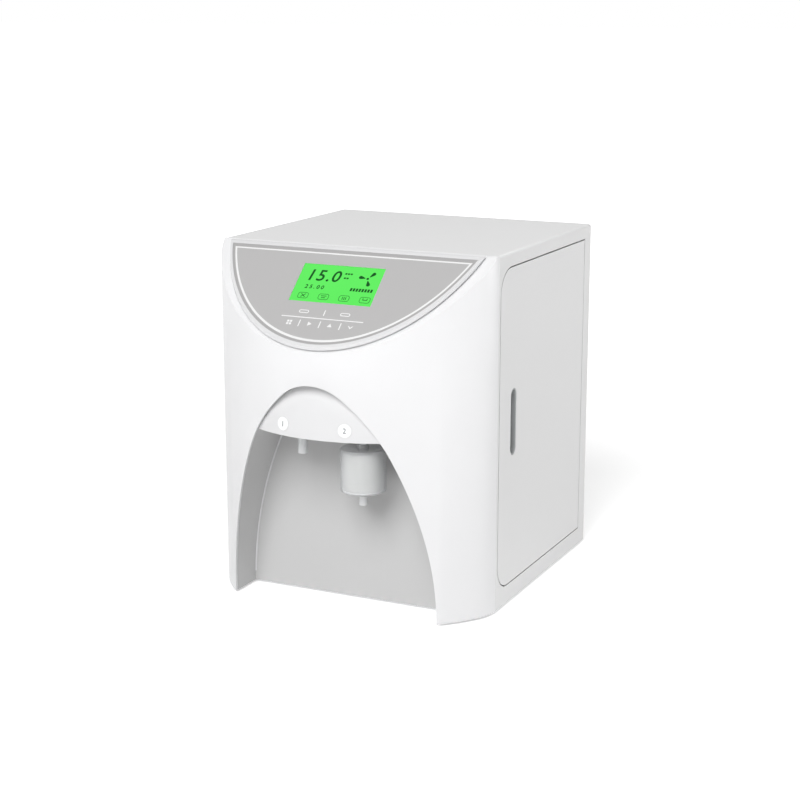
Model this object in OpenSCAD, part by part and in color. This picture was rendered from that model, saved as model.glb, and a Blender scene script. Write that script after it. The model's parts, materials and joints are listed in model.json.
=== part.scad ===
// Bench-top ultrapure water system: a moulded bow front with an arched dispensing bay,
// a folded steel housing and a hinged service door on its right side.
// Millimetres. +Z is up and the front faces -Y. Inside the modules y = 0 is the straight
// top-front edge and z = 0 the bottom edge of the housing; place() moves that to the shared origin.

/* [Body] */
// Width of the body over its flat sides
body_w = 339; // [334:1:345]
// Height of the body over its own bottom edge
body_h = 400; // [396:1:408]
// Depth from the straight top-front edge to the rear face
body_d = 294; // [290:1:304]
// Height of the rubber feet below the body
foot_h = 3; // [2:0.5:5]
// Sheet thickness of the steel housing, door, base and rear panel
sheet = 2; // [1.5:0.5:2.5]
// Wall thickness of the moulded covers
wall = 3; // [2.5:0.5:3.5]
// Radius of the folded top edges of the housing
fold_r = 3; // [2.5:0.5:5]

/* [Bow front] */
// How far the bow stands ahead of the top-front edge
bow_out = 110; // [106:1:112]
// Plan radius where the bow turns into the sides
bow_corner_r = 58; // [54:1:60]
// Where that corner meets the side, behind the top-front edge
bow_corner_y = 9.35; // [8.5:0.05:10.5]
// Joint between front cover and housing, behind the top-front edge
seam_y = 4; // [3:0.5:5]
// Depth of the cover's locating tongue inside the housing
tongue_d = 1.5; // [1:0.25:1.5]

/* [Arched bay] */
// Half width of the bay at the bench
arch_half_w = 127; // [124:0.5:128]
// Height of the bay's crown
arch_h = 265; // [262:0.5:268]
// Radius of the crown
crown_r = 56; // [54:1:58]
// Half angle that the crown arc spans
crown_angle = 39.35; // [38:0.05:41]
// Radius of the haunches beside the crown
haunch_r = 185.5; // [180:0.5:190]
// Angle from the vertical at which the haunch arc ends
haunch_angle = 65.25; // [63:0.25:67]
// Front face of the bay's back wall, ahead of the top-front edge
bay_back = 15.8; // [12:0.1:20]
// Wall thickness of the bay liner
liner_wall = 2.5; // [2:0.25:3]

/* [Outlets] */
// Height of the hood's lower edge
hood_z = 205.5; // [200:0.5:212]
// Radius of the domed hood
hood_r = 169; // [166:1:175]
// How far the hood's lip stands ahead of the top-front edge
hood_out = 107.5; // [104:0.5:108]
// Distance of each outlet from the middle plane
outlet_x = 37.5; // [36:0.5:39]
// Distance of the outlets ahead of the top-front edge
outlet_out = 59.3; // [55:0.1:60]
// Outer radius of the plain water nozzle
nozzle_r = 5.3; // [5:0.1:6]
// Length of the plain nozzle below the hood
nozzle_drop = 30; // [24:1:34]
// Outer radius of the final filter
filter_r = 25.8; // [24:0.2:27]
// Length of the final filter's round body
filter_len = 49; // [46:1:52]
// Gap between the hood and the final filter's shoulder
filter_gap = 15.5; // [14:0.5:20]
// Outer radius of the final filter's neck
neck_r = 6; // [5.6:0.1:7]
// Length of the final filter's outlet stub
stub_len = 16; // [13:1:18]
// Radius of the round blank label discs
label_r = 7.6; // [6:0.2:8]
// Height of the label discs above the hood's lower edge
label_up = 13; // [11:0.5:15]

/* [Control panel] */
// Slope of the control panel below the horizontal
panel_slope = 42; // [40:0.5:44]
// Height of the panel face above the shoulder facet
panel_rise = 4.5; // [4:0.25:5]
// How much tighter the printed film's plan radius is than the bow's
film_tighter = 24; // [23:1:28]
// How far the film's lowest point stands ahead of the top-front edge
film_out = 107; // [105:0.5:107.5]
// Distance from the top edge down the slope to the film
film_top = 10; // [9:0.5:12]
// Thickness of the printed film
film_t = 0.3; // [0.2:0.05:0.4]
// Width of the raised bead round the film, in plan
bead_w = 3; // [2.4:0.2:3]
// Height of the bead above the film
bead_rise = 0.6; // [0.4:0.1:1]
// Thickness of the bezel plate
bezel_t = 2; // [1.8:0.1:2.4]
// Width of the display window
lcd_w = 99; // [94:1:104]
// Height of the display window
lcd_h = 52; // [50:1:54]
// Distance down the slope to the middle of the display
lcd_down = 57.3; // [56:0.1:58]
// Distance down the slope to the printed rule between the key rows
rule_down = 105; // [104:0.5:106]
// Distance from the middle to the two upper keys
upper_key_x = 25; // [22:0.5:30]
// Spacing of the four lower keys
lower_key_pitch = 24.6; // [23:0.2:26]
// Radius of the key plungers under the film
key_r = 3; // [2.5:0.1:3.5]
// Travel of the key plungers
key_travel = 0.25; // [0.2:0.05:0.3]

/* [Service door] */
// Front edge of the door behind the top-front edge
door_front = 9.5; // [9:0.5:12]
// Strip of housing behind the door
door_rear_strip = 22; // [20:1:26]
// Strip of housing below the door
door_bottom = 22; // [20:1:26]
// Strip of housing above the door
door_top_strip = 17; // [16:0.5:20]
// Radius of the door's two front corners
door_corner_r = 28; // [24:1:32]
// Groove round the door
door_gap = 1.5; // [1.5:0.1:2]
// Depth of the door's folded edge
door_fold = 12; // [10:0.5:13]
// Distance of the hinge axis from the door's rear edge
hinge_in = 12; // [12:0.5:14]
// Depth of the hinge axis behind the door's outer face
hinge_deep = 5; // [4.8:0.1:5.2]
// Radius of the hinge pins
pin_r = 2; // [1.8:0.1:2.1]
// Length of the finger pull
pull_len = 77; // [70:1:90]
// Width of the finger pull
pull_w = 17; // [14:0.5:20]
// Depth of the finger pull
pull_deep = 9; // [7:0.5:9.5]
// Distance of the finger pull from the door's front edge
pull_in = 40.5; // [36:0.5:46]
// Height of the finger pull's middle
pull_z = 208.5; // [200:0.5:216]

/* [Water treatment] */
// Radius of the pre-treatment cartridges
cart_r = 36; // [33:0.5:37]
// Length of the cartridges below their heads
cart_len = 250; // [230:5:255]
// Spacing of the cartridges
cart_pitch = 80; // [78:1:82]
// Distance of the cartridge rail below the top of the housing
rail_drop = 70; // [60:1:74]
// Left face of the inner bulkhead
bulkhead_x = 62; // [60:0.5:64]
// Radius of the membrane vessel
vessel_r = 40; // [38:0.5:42]
// Radius of the polishing column
column_r = 45; // [42:0.5:46]
// Room for tubes above the vessel and the column
vessel_drop = 80; // [70:1:100]
// Radius of the pump motor
motor_r = 36; // [33:0.5:38]
// Outer radius of the water tubing
tube_r = 3.2; // [3:0.1:3.4]
// Bore radius of the water tubing
tube_bore_r = 2.1; // [1.8:0.1:2.3]
// Bend radius of the water tubing
bend_r = 14; // [12:1:14]

/* [Rear face] */
// Spacing of the rear water ports
port_pitch = 28; // [26:1:30]
// Height of the rear water ports
port_z = 130; // [120:1:150]
// How far the ports stand behind the rear face
port_out = 18; // [17:1:22]
// Travel of the port collets
collet_travel = 1.5; // [1:0.1:1.6]
// Height of the mains inlet and the switch
mains_z = 34; // [32:1:38]

/* [Hidden] */
$fn = 64;
far = 900;                          // larger than the object, for cutting shapes
fit = 0.2;                          // clearance between fixed pieces that slot together
run = 0.1;                          // clearance of a hole on its turning or sliding pin
half_w = body_w / 2;
mid_y = (body_d + port_out - bow_out) / 2;
bow_corner_x = half_w - bow_corner_r;
// the bow's arc runs on into both corner arcs
bow_span = bow_out + bow_corner_y;
bow_r = (pow(bow_corner_x, 2) + pow(bow_span, 2) - pow(bow_corner_r, 2)) / (2 * (bow_span - bow_corner_r));
bow_cy = bow_r - bow_out;
film_r = bow_r - film_tighter;
film_cy = film_r - film_out;
bezel_r = film_r + bead_w;
plinth_r = bezel_r - 3;             // the cover's plinth is undercut below the bead
edge_r = 12;                        // rounding between the body's top and the panel face
hood_cy = hood_r - hood_out;
floor_t = 3;                        // floor of the hood
liner_back_t = 3;
adapter_r = neck_r - 1.7;           // spigot inside the final filter's neck
shank_r = adapter_r - 0.3;          // shank of both spigots in the hood's floor
glass_top = panel_rise - film_t;    // the display glass lies level with the film's underside
glass_t = 2;
key_board_w = 112;
tongue_t = 2;
seat_r = tube_r + 0.05;             // bore that takes a tube's end
// bay arch: crown, haunch and leg arcs that run into each other
haunch_c = [(crown_r - haunch_r) * sin(crown_angle),
  arch_h - crown_r + (crown_r - haunch_r) * cos(crown_angle)];
leg_dir = [sin(haunch_angle), cos(haunch_angle)];
haunch_end = haunch_c + haunch_r * leg_dir;
// the leg arc leaves the haunch in its direction and ends at the bench at arch_half_w
leg_dx = arch_half_w - haunch_end[0];
leg_r = (pow(leg_dx, 2) + pow(haunch_end[1], 2)) / (2 * (haunch_end[1] * leg_dir[1] - leg_dx * leg_dir[0]));
leg_c = haunch_end - leg_r * leg_dir;
door_rear = body_d - door_rear_strip;
door_top = body_h - door_top_strip;
door_flange_in = 1.5;               // fold line behind the door's edge
door_bond = 0.05;                   // adhesive between the door's skin and its frame
hinge_x = half_w - hinge_deep;
hinge_y = door_rear - hinge_in;
frame_t = 1.5;                      // door frame behind the housing's opening
frame_deep = 14;                    // depth of the door frame
pull_y = door_front + pull_in;
rear_in = body_d - sheet;           // inner face of the rear panel
tray_x = half_w - sheet - fit;
tray_front = -bay_back + liner_back_t + fit;
cart_x = (bulkhead_x + half_w - door_fold) / 2;
cart_mid_y = (door_front + door_rear) / 2;
rail_z = body_h - rail_drop;
head_h = 36;
head_r = 31;
vessel_x = -(half_w - vessel_r - 17);
vessel_y = 62;
column_x = -(half_w - column_r - 12);
column_y = vessel_y + vessel_r + column_r + 22;
vessel_z = 20;
vessel_len = body_h - vessel_drop - vessel_z;
saddle_h = 30;
feed_port_z = vessel_z + saddle_h + 21;
feed_port_len = 14;
cap_h = 14;
nipple_h = 16;
pump_x = -5;
motor_len = 100;
pump_head_len = 45;
pump_front = 100;
pump_port_len = 12;
pump_z = 60;
port_x0 = -40;
function port_x(i) = port_x0 + i * port_pitch;
port_r = 8;
collet_r = 5.2;
inlet_x = 57.5 - half_w;
inlet_w = 48;
inlet_h = 27;
switch_x = inlet_x + 54;
switch_w = 22;
switch_h = 30;
psu_in = 12;
psu_gap = 17.5;                     // room between the supply and the first port
psu_w = half_w - psu_in + port_x0 - psu_gap;
psu_d = 48;
psu_h = 170;
psu_z = 62;
board_w = 140;
board_h = 110;
board_y = 70;
board_z = 190;
cell_r = 11;
cell_len = 46;
cell_y = 34;
tube_hole_z = hood_z + 30;
ro_high = body_h - 30;
product_high = body_h - 20;
cell_z = (tube_hole_z + product_high - cell_len) / 2;
valve_z = body_h - 115;
valve_deep = 30;
valve_port_len = 8;
union_in = 22;                      // length of a port union inside the rear face
rocker_tilt = 8;                    // the switch rests in its off position
screw_head_r = 3.5;
screw_head_h = 1.4;
screw_low = 12;
screw_x = half_w - 10;
magnet_z = [90, 316];
lower_key_y = rule_down + 8;
key_board_low = lower_key_y + 8;    // lower edge of the key board, down the slope
display_rim = 5;
upper_key_y = rule_down - 8;
key_places = [[-upper_key_x, upper_key_y], [upper_key_x, upper_key_y],
  for (i = [0:3]) [(i - 1.5) * lower_key_pitch, lower_key_y]];

// ---------- frames and outlines ----------

module place() {
  translate([0, -mid_y, foot_h]) children();
}

// x across, -y down the slope, z out of the shoulder facet
module on_panel() {
  translate([0, 0, body_h]) rotate([panel_slope, 0, 0]) children();
}

// 2D outline in (y, z) drawn out along x
module along_x(w) {
  rotate([90, 0, 90]) linear_extrude(w, center = true) children();
}

// 2D outline in (x, z) drawn out from y0 back to y1
module along_y(y0, y1) {
  translate([0, y1, 0]) rotate([90, 0, 0]) linear_extrude(y1 - y0) children();
}

// 2D outline in (y, z) drawn out from x0 right to x1
module across(x0, x1) {
  translate([x0, 0, 0]) rotate([90, 0, 90]) linear_extrude(x1 - x0) children();
}

module ring2d(outer, inner) {
  difference() {
    circle(outer);
    circle(inner);
  }
}

// Upright slot with round ends
module stadium2d(len, w) {
  square([w, len - w], center = true);
  for (s = [-1, 1]) translate([0, s * (len - w) / 2]) circle(w / 2);
}

module round_rect2d(w, h, r) {
  square([w - 2 * r, h], center = true);
  square([w, h - 2 * r], center = true);
  for (x = [-1, 1], y = [-1, 1]) translate([x * (w / 2 - r), y * (h / 2 - r)]) circle(r);
}

// Plan of the bow front, drawn in by inset, cut off at the line y = rear
module bow2d(inset, rear) {
  corner_r = bow_corner_r - inset;
  reach = far / bow_r;
  intersection() {
    union() {
      intersection() {
        translate([0, bow_cy]) circle(bow_r - inset, $fn = 180);
        polygon([[0, bow_cy],
          [-bow_corner_x * reach, bow_cy + (bow_corner_y - bow_cy) * reach],
          [bow_corner_x * reach, bow_cy + (bow_corner_y - bow_cy) * reach]]);
      }
      for (s = [-1, 1]) translate([s * bow_corner_x, bow_corner_y]) circle(corner_r, $fn = 120);
      polygon([[0, bow_cy], [-bow_corner_x, bow_corner_y], [inset - half_w, bow_corner_y],
        [inset - half_w, bow_cy + 1], [half_w - inset, bow_cy + 1],
        [half_w - inset, bow_corner_y], [bow_corner_x, bow_corner_y]]);
    }
    translate([-far / 2, -far]) square([far, far + rear]);
  }
}

// Wedge from a centre out through the angles a0 to a1, measured from the vertical
module wedge2d(c, a0, a1) {
  translate(c) polygon([[0, 0], far * [sin(a0), cos(a0)], far * [sin((a0 + a1) / 2), cos((a0 + a1) / 2)],
    far * [sin(a1), cos(a1)]]);
}

// Bay arch in (x, z), drawn out by grow; it runs below the bench line so that cuts go through
module arch2d(grow) {
  for (s = [0, 1]) mirror([s, 0]) intersection() {
    union() {
      intersection() {
        translate([0, arch_h - crown_r]) circle(crown_r + grow, $fn = 120);
        wedge2d([0, arch_h - crown_r], -30, crown_angle + 3);
      }
      intersection() {
        translate(haunch_c) circle(haunch_r + grow, $fn = 160);
        wedge2d(haunch_c, crown_angle, haunch_angle + 3);
      }
      intersection() {
        translate(leg_c) circle(leg_r + grow, $fn = 200);
        wedge2d(leg_c, haunch_angle, 120);
      }
      // the wedges' tips meet inside this block
      translate([-1, -1]) square([crown_r / 3, arch_h - crown_r + crown_r / 4]);
    }
    translate([-0.5, -1]) square([far, far]);
  }
}

// Slice of the panel between two heights over the shoulder facet, trimmed by an upright cylinder
module moon(r, top, z0, z1) {
  intersection() {
    translate([0, film_cy, 0]) cylinder(r = r, h = body_h, $fn = 180);
    on_panel() translate([-far / 2, -far - top, z0]) cube([far, far, z1 - z0]);
  }
}

// Section of the panel slab in (y, z): cut off at the body's top and rounded there
module panel_section2d(z0, z1) {
  top_y = -z1 / sin(panel_slope);
  cut = edge_r * tan(panel_slope / 2);
  difference() {
    intersection() {
      translate([0, body_h]) rotate(panel_slope) translate([-far, z0]) square([2 * far, z1 - z0]);
      translate([-far, 0]) square([2 * far, body_h]);
    }
    difference() {
      translate([top_y, body_h]) polygon([[cut, 0], [cut, 1], [-cut, 1],
        [-cut * cos(panel_slope) - 1, 1 - cut * sin(panel_slope)],
        [-cut * cos(panel_slope), -cut * sin(panel_slope)]]);
      translate([top_y + cut, body_h - edge_r]) circle(edge_r, $fn = 96);
    }
  }
}

// ---------- front cover and control panel ----------

// Bow front up to the shoulder facet, drawn in by inset and drawn down below the bench line
module bow_solid(inset, rear, below = 0) {
  difference() {
    translate([0, 0, -below]) linear_extrude(body_h - inset + below) bow2d(inset, rear);
    on_panel() translate([-far / 2, -far, -inset]) cube([far, 2 * far, far]);
  }
}

module front_cover() {
  color("#f4f5f6") place() {
    difference() {
      union() {
        bow_solid(0, seam_y);
        intersection() {
          along_x(far) panel_section2d(-wall, panel_rise - bezel_t);
          translate([0, film_cy, 0]) cylinder(r = plinth_r, h = body_h, $fn = 180);
          linear_extrude(body_h) bow2d(0, seam_y);
        }
      }
      bow_solid(wall, seam_y + 1, 1);
      along_y(-far / 2, 0) arch2d(0);
      on_panel() translate([-key_board_w / 2 - 1, -key_board_low - 3, -wall - 1])
        cube([key_board_w + 2, key_board_low + 3 - lcd_down + lcd_h / 2 + display_rim + 4, far]);
    }
    // tongue that locates the cover inside the housing
    difference() {
      linear_extrude(body_h - sheet - fit) intersection() {
        bow2d(sheet + fit, seam_y + tongue_d);
        translate([-far / 2, seam_y - wall]) square([far, far]);
      }
      translate([0, 0, -1]) linear_extrude(body_h - sheet - fit - tongue_t + 1)
        bow2d(sheet + fit + tongue_t, far);
    }
  }
}

module panel_bezel() {
  color("#fafafa") place() difference() {
    union() {
      intersection() {
        along_x(far) panel_section2d(panel_rise - bezel_t, panel_rise);
        translate([0, film_cy, 0]) cylinder(r = bezel_r, h = body_h, $fn = 180);
      }
      intersection() {
        moon(bezel_r, film_top + 1, panel_rise - bezel_t, panel_rise + bead_rise);
        translate([0, film_cy, 0]) difference() {
          cylinder(r = bezel_r, h = body_h, $fn = 180);
          translate([0, 0, -1]) cylinder(r = film_r + fit, h = body_h + 2, $fn = 180);
        }
      }
      for (s = [-1, 1]) on_panel() translate([s * 51, -lower_key_y + 5, -3])
        cylinder(r = 3, h = panel_rise - bezel_t + 4);
    }
    moon(film_r + fit, film_top - fit, panel_rise - film_t, panel_rise + 2 * bead_rise);
    on_panel() translate([-lcd_w / 2 - fit, -lcd_down - lcd_h / 2 - fit, 0])
      cube([lcd_w + 2 * fit, lcd_h + 2 * fit, far]);
    on_panel() for (k = key_places) translate([k[0], -k[1], 0]) cylinder(r = key_r + fit, h = far);
  }
}

module panel_film() {
  color("#c2bfc0") place() difference() {
    moon(film_r, film_top, panel_rise - film_t, panel_rise);
    on_panel() translate([-lcd_w / 2 - fit, -lcd_down - lcd_h / 2 - fit, 0])
      cube([lcd_w + 2 * fit, lcd_h + 2 * fit, far]);
  }
}

// White print on the film: a pinstripe, a rule, dividers and four plain signs
module panel_marks() {
  ink = 0.1;
  stripe_in = 3;                      // plan distance of the pinstripe from the film's edge
  stripe_w = 2;
  mark_w = 1.2;
  color("#ffffff") place() {
    difference() {
      moon(film_r - stripe_in, film_top + 4.7, panel_rise, panel_rise + ink);
      moon(film_r - stripe_in - stripe_w, film_top + 6.6, 0, panel_rise + 1);
    }
    on_panel() translate([0, 0, panel_rise]) linear_extrude(ink) {
      translate([0, -rule_down]) square([lcd_w, mark_w], center = true);
      translate([0, -upper_key_y]) square([mark_w, 7.4], center = true);
      for (i = [-1:1]) translate([i * lower_key_pitch, -lower_key_y]) square([mark_w, 9], center = true);
      for (s = [-1, 1]) translate([s * upper_key_x, -upper_key_y]) difference() {
        stadium_flat2d(12, 4.4);
        stadium_flat2d(10, 2.4);
      }
      translate([key_places[2][0], -lower_key_y])
        for (x = [-1, 1], y = [-1, 1]) translate([x * 1.7, y * 1.7]) square(2.6, center = true);
      translate([key_places[3][0], -lower_key_y]) polygon([[-2, -2.8], [-2, 2.8], [2.8, 0]]);
      translate([key_places[4][0], -lower_key_y]) polygon([[-2.8, -2], [2.8, -2], [0, 2.8]]);
      translate([key_places[5][0], -lower_key_y])
        polygon([[-3.2, 1.6], [-1.8, 1.6], [0, -0.4], [1.8, 1.6], [3.2, 1.6], [0, -2.2]]);
    }
  }
}

module stadium_flat2d(len, w) {
  rotate(90) stadium2d(len, w);
}

module display_frame() {
  rim = display_rim;
  deep = 8;
  color("#1e2022") place() on_panel() translate([0, -lcd_down, panel_rise - bezel_t]) difference() {
    translate([-lcd_w / 2 - rim, -lcd_h / 2 - rim, -deep]) cube([lcd_w + 2 * rim, lcd_h + 2 * rim, deep]);
    translate([-lcd_w / 2, -lcd_h / 2, glass_top - glass_t - panel_rise + bezel_t]) cube([lcd_w, lcd_h, far]);
  }
}

module display_glass() {
  color("#6cf56c") place() on_panel()
    translate([-lcd_w / 2, -lcd_down - lcd_h / 2, glass_top - glass_t]) cube([lcd_w, lcd_h, glass_t]);
}

// Bars of a seven-bar digit that are lit, in the order top, upper right, lower right, bottom,
// lower left, upper left, middle
function bars(d) = [[1, 1, 1, 1, 1, 1, 0], [0, 1, 1, 0, 0, 0, 0], [1, 1, 0, 1, 1, 0, 1],
  [1, 1, 1, 1, 0, 0, 1], [0, 1, 1, 0, 0, 1, 1], [1, 0, 1, 1, 0, 1, 1], [1, 0, 1, 1, 1, 1, 1],
  [1, 1, 1, 0, 0, 0, 0], [1, 1, 1, 1, 1, 1, 1], [1, 1, 1, 1, 0, 1, 1]][d];

module digit2d(d, w, h, t) {
  lit = bars(d);
  if (lit[0] == 1) translate([0, h - t]) square([w, t]);
  if (lit[1] == 1) translate([w - t, h / 2]) square([t, h / 2]);
  if (lit[2] == 1) translate([w - t, 0]) square([t, h / 2]);
  if (lit[3] == 1) square([w, t]);
  if (lit[4] == 1) square([t, h / 2]);
  if (lit[5] == 1) translate([0, h / 2]) square([t, h / 2]);
  if (lit[6] == 1) translate([0, (h - t) / 2]) square([w, t]);
}

// Plain numbers, blank boxes, a three-bladed sign and a bar of blocks on the display
module display_digits() {
  print_t = 0.1;
  big = [10, 15.5, 1.8];
  big_x = [4.8, 20.4, 39.5];
  small = [3.6, 4.6, 0.6];
  small_x = [13, 20.5, 30, 37.5];
  box_w = 12;
  box_h = 7.5;
  line = 0.6;
  color("#0d5a1d") place() on_panel() translate([-lcd_w / 2, -lcd_down + lcd_h / 2, glass_top])
    linear_extrude(print_t) {
      for (i = [0:2]) translate([big_x[i], -22.5]) digit2d([1, 5, 0][i], big[0], big[1], big[2]);
      translate([33, -22.5]) square(2);
      for (i = [0:3]) translate([small_x[i], -33.4])
        digit2d([2, 5, 0, 0][i], small[0], small[1], small[2]);
      translate([26.6, -33.4]) square(0.9);
      for (y = [-12, -18]) translate([54, y]) square([9, 2.2]);
      for (i = [0:3]) translate([14.5 + i * (lcd_w - 24) / 3, -44]) difference() {
        square([box_w, box_h], center = true);
        square([box_w - 2 * line, box_h - 2 * line], center = true);
      }
      translate([lcd_w - 16.5, -15]) {
        for (a = [52, 172, 292]) rotate(a) {
          polygon([[3, -0.5], [8.6, -2.1], [8.6, 2.1], [3, 0.5]]);
          translate([8.8, 0]) circle(2.2, $fn = 32);
        }
        circle(1.4, $fn = 32);
      }
      for (i = [0:7]) translate([lcd_w - 32 + i * 3.5, -33.4]) square([2.4, 4.2]);
    }
}

module key_board() {
  board_t = 1.6;
  switch_w_key = 9;
  color("#1d6b3a") place() on_panel() translate([0, 0, -3]) {
    translate([-key_board_w / 2, -key_board_low, -board_t])
      cube([key_board_w, key_board_low - upper_key_y + 6, board_t]);
    for (k = key_places) translate([k[0], -k[1], 0]) difference() {
      translate([-switch_w_key / 2, -switch_w_key / 2, 0]) cube([switch_w_key, switch_w_key, 3]);
      translate([0, 0, 1]) cylinder(r = key_r + run, h = 3);
    }
  }
}

// Plunger i under the film
module key(i) {
  slack = 0.05;
  foot_z = -2 + key_travel + slack;
  k = key_places[i - 1];
  color("#d8d8d8") place() on_panel() translate([k[0], -k[1], foot_z])
    cylinder(r = key_r, h = glass_top - slack - foot_z);
}
module key_1() { key(1); }
module key_2() { key(2); }
module key_3() { key(3); }
module key_4() { key(4); }
module key_5() { key(5); }
module key_6() { key(6); }

// ---------- dispensing bay ----------

module bay_liner() {
  color("#d3d5d7") place() difference() {
    intersection() {
      along_y(-far / 2, -bay_back + liner_back_t) arch2d(liner_wall);
      linear_extrude(body_h) bow2d(wall + fit, far);
    }
    along_y(-far / 2, -bay_back) arch2d(0);
    for (s = [-1, 1]) along_y(-bay_back - 1, far) translate([s * outlet_x, tube_hole_z]) circle(tube_r + 0.3);
  }
}

// Domed hood inside the arch; it is open at the back, where it seats on the bay's back wall
module hood_solid(inset) {
  intersection() {
    translate([0, hood_cy, hood_z]) sphere(hood_r - inset, $fn = 180);
    along_y(-far / 2, -bay_back) arch2d(-fit - inset);
    translate([-far / 2, -far / 2, hood_z]) cube([far, far, far]);
  }
}

module outlet_hood() {
  color("#f3f4f5") place() difference() {
    hood_solid(0);
    intersection() {
      hood_solid(wall);
      translate([-far / 2, -far / 2, hood_z + floor_t]) cube([far, far, far]);
    }
    for (s = [-1, 1]) translate([s * outlet_x, -outlet_out, hood_z - 1])
      cylinder(r = shank_r + fit, h = floor_t + 2);
    for (s = [-1, 1]) label_place(s) translate([0, 0, -0.2]) cylinder(r = label_r + fit, h = 10);
  }
}

// Seat of a label disc, flat on the domed face
module label_place(s) {
  c = [0, hood_cy, hood_z];
  up = asin(label_up / hood_r);
  side = asin(outlet_x / (hood_r * cos(up)));
  translate(c) rotate([0, 0, s * side]) rotate([90 - up, 0, 0])
    translate([0, 0, hood_r * cos(asin((label_r + fit) / hood_r)) - 0.15]) children();
}

module label_discs() {
  color("#ffffff") place() for (s = [-1, 1]) label_place(s) translate([0, 0, -0.2])
    cylinder(r = label_r, h = 0.8);
}

// Spigot that shoulders under the hood's floor, with a narrower shank and a nut above it
module spigot(r, drop, bore) {
  translate([0, 0, hood_z - drop]) difference() {
    union() {
      cylinder(r = r, h = drop);
      cylinder(r = shank_r, h = drop + floor_t + 14);
      translate([0, 0, drop + floor_t]) cylinder(r = 9.5, h = 5, $fn = 6);
    }
    translate([0, 0, -1]) cylinder(r = bore, h = drop + floor_t + 4);
    translate([0, 0, drop + floor_t + 2]) cylinder(r = seat_r, h = 20);
  }
}

module ro_nozzle() {
  color("#d9dbdc") place() translate([-outlet_x, -outlet_out, 0]) spigot(nozzle_r, nozzle_drop, 3.4);
}

module filter_adapter() {
  color("#e3e5e6") place() translate([outlet_x, -outlet_out, 0]) spigot(adapter_r, filter_gap - 3, 2);
}

filter_top = hood_z - filter_gap;
module filter_shell() {
  shell_t = 2;
  round_r = 3.5;
  stub_r = 4.7;
  color("#e6e9ea") place() translate([outlet_x, -outlet_out, filter_top - filter_len])
    rotate_extrude($fn = 96) difference() {
      union() {
        translate([0, round_r]) square([filter_r, filter_len - 2 * round_r]);
        square([filter_r - round_r, filter_len]);
        for (z = [round_r, filter_len - round_r]) translate([filter_r - round_r, z])
          circle(round_r, $fn = 64);
        translate([0, filter_len - 1]) square([neck_r, filter_gap - 1]);
        translate([0, -stub_len]) square([stub_r, stub_len + 1]);
      }
      // hollow body, socket for the adapter and outlet bore
      translate([0, round_r]) square([filter_r - shell_t, filter_len - 2 * round_r]);
      translate([0, shell_t]) square([filter_r - round_r, filter_len - 2 * shell_t]);
      for (z = [round_r, filter_len - round_r]) translate([filter_r - round_r, z])
        circle(round_r - shell_t, $fn = 64);
      translate([0, filter_len - shell_t - 1]) square([adapter_r + run, far]);
      translate([0, -far]) square([3, far + shell_t + 1]);
      translate([-far, -far]) square([far, 2 * far]);
    }
}

// Pleated membrane pack inside the final filter
module filter_core() {
  pleats = 24;
  core_len = filter_len - 10;
  core_r = filter_r - 6;
  end_r = filter_r - 8 - fit;
  color("#f6f6f4") place() translate([outlet_x, -outlet_out, filter_top - filter_len + 2]) {
    difference() {
      union() {
        cylinder(r = end_r, h = core_len);
        for (i = [0:pleats - 1]) rotate(i * 360 / pleats)
          translate([end_r - 1, -0.7, 2]) cube([core_r - end_r + 1, 1.4, core_len - 4]);
      }
      translate([0, 0, -1]) cylinder(r = 6.5, h = core_len + 2);
    }
  }
}

// ---------- housing and service door ----------

// Front view outline of the housing with its folded top edges, drawn in by inset
module housing2d(inset) {
  r = max(fold_r - inset, 0.5);
  translate([inset - half_w, -1]) square([body_w - 2 * inset, body_h + 1 - inset - r]);
  translate([inset - half_w + r, -1]) square([body_w - 2 * inset - 2 * r, body_h + 1 - inset]);
  for (s = [-1, 1]) translate([s * (half_w - inset - r), body_h - inset - r]) circle(r);
}

// Door outline in (y, z), drawn out by grow: round at the front, square at the rear
module door2d(grow) {
  r = door_corner_r + grow;
  y0 = door_front - grow;
  y1 = door_rear + grow;
  z0 = door_bottom - grow;
  z1 = door_top + grow;
  translate([y0 + r, z0]) square([y1 - y0 - r, z1 - z0]);
  translate([y0, z0 + r]) square([r + 1, z1 - z0 - 2 * r]);
  for (z = [z0 + r, z1 - r]) translate([y0 + r, z]) circle(r, $fn = 96);
}

module housing_shell() {
  slot_n = 9;
  slot_pitch = 12;
  color("#e2e3e4") place() intersection() {
    difference() {
      along_y(seam_y, rear_in) housing2d(0);
      along_y(0, body_d) housing2d(sheet);
      across(0, half_w + 1) door2d(door_gap);
      // vents in the left side
      for (i = [0:slot_n - 1]) across(-half_w - 1, 0)
        translate([body_d - 60 - i * slot_pitch, 60]) stadium2d(50, 4);
    }
    translate([-half_w - 1, 0, 0]) cube([body_w + 2, body_d, body_h]);
  }
}

module door_frame() {
  x0 = half_w - sheet - frame_deep;
  color("#c9cccf") place() difference() {
    union() {
      across(x0, half_w - sheet) difference() {
        door2d(door_gap + frame_t);
        door2d(door_gap);
      }
      // seats of the two magnets behind the door's front edge
      for (z = magnet_z) translate([x0, door_front - door_gap - frame_t, z - 14]) cube([2, frame_t + 14, 28]);
    }
    for (z = [door_bottom - 10, door_top - 2]) translate([hinge_x, hinge_y, z]) cylinder(r = pin_r, h = 12);
  }
}

// Flat skin with a separate folded frame bonded in behind it
module service_door() {
  skin_x = half_w - sheet;
  color("#dfe1e2") place() {
    difference() {
      across(skin_x, half_w) door2d(0);
      across(0, far) translate([pull_y, pull_z]) stadium2d(pull_len, pull_w);
    }
    difference() {
      union() {
        across(half_w - door_fold, skin_x - door_bond) difference() {
          door2d(-door_flange_in);
          door2d(-door_flange_in - sheet);
        }
        // hinge blocks in the rear corners
        for (z = [0, 1]) hinge_block(z);
      }
      for (z = [0, 1]) hinge_bore(z);
    }
  }
}

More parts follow.
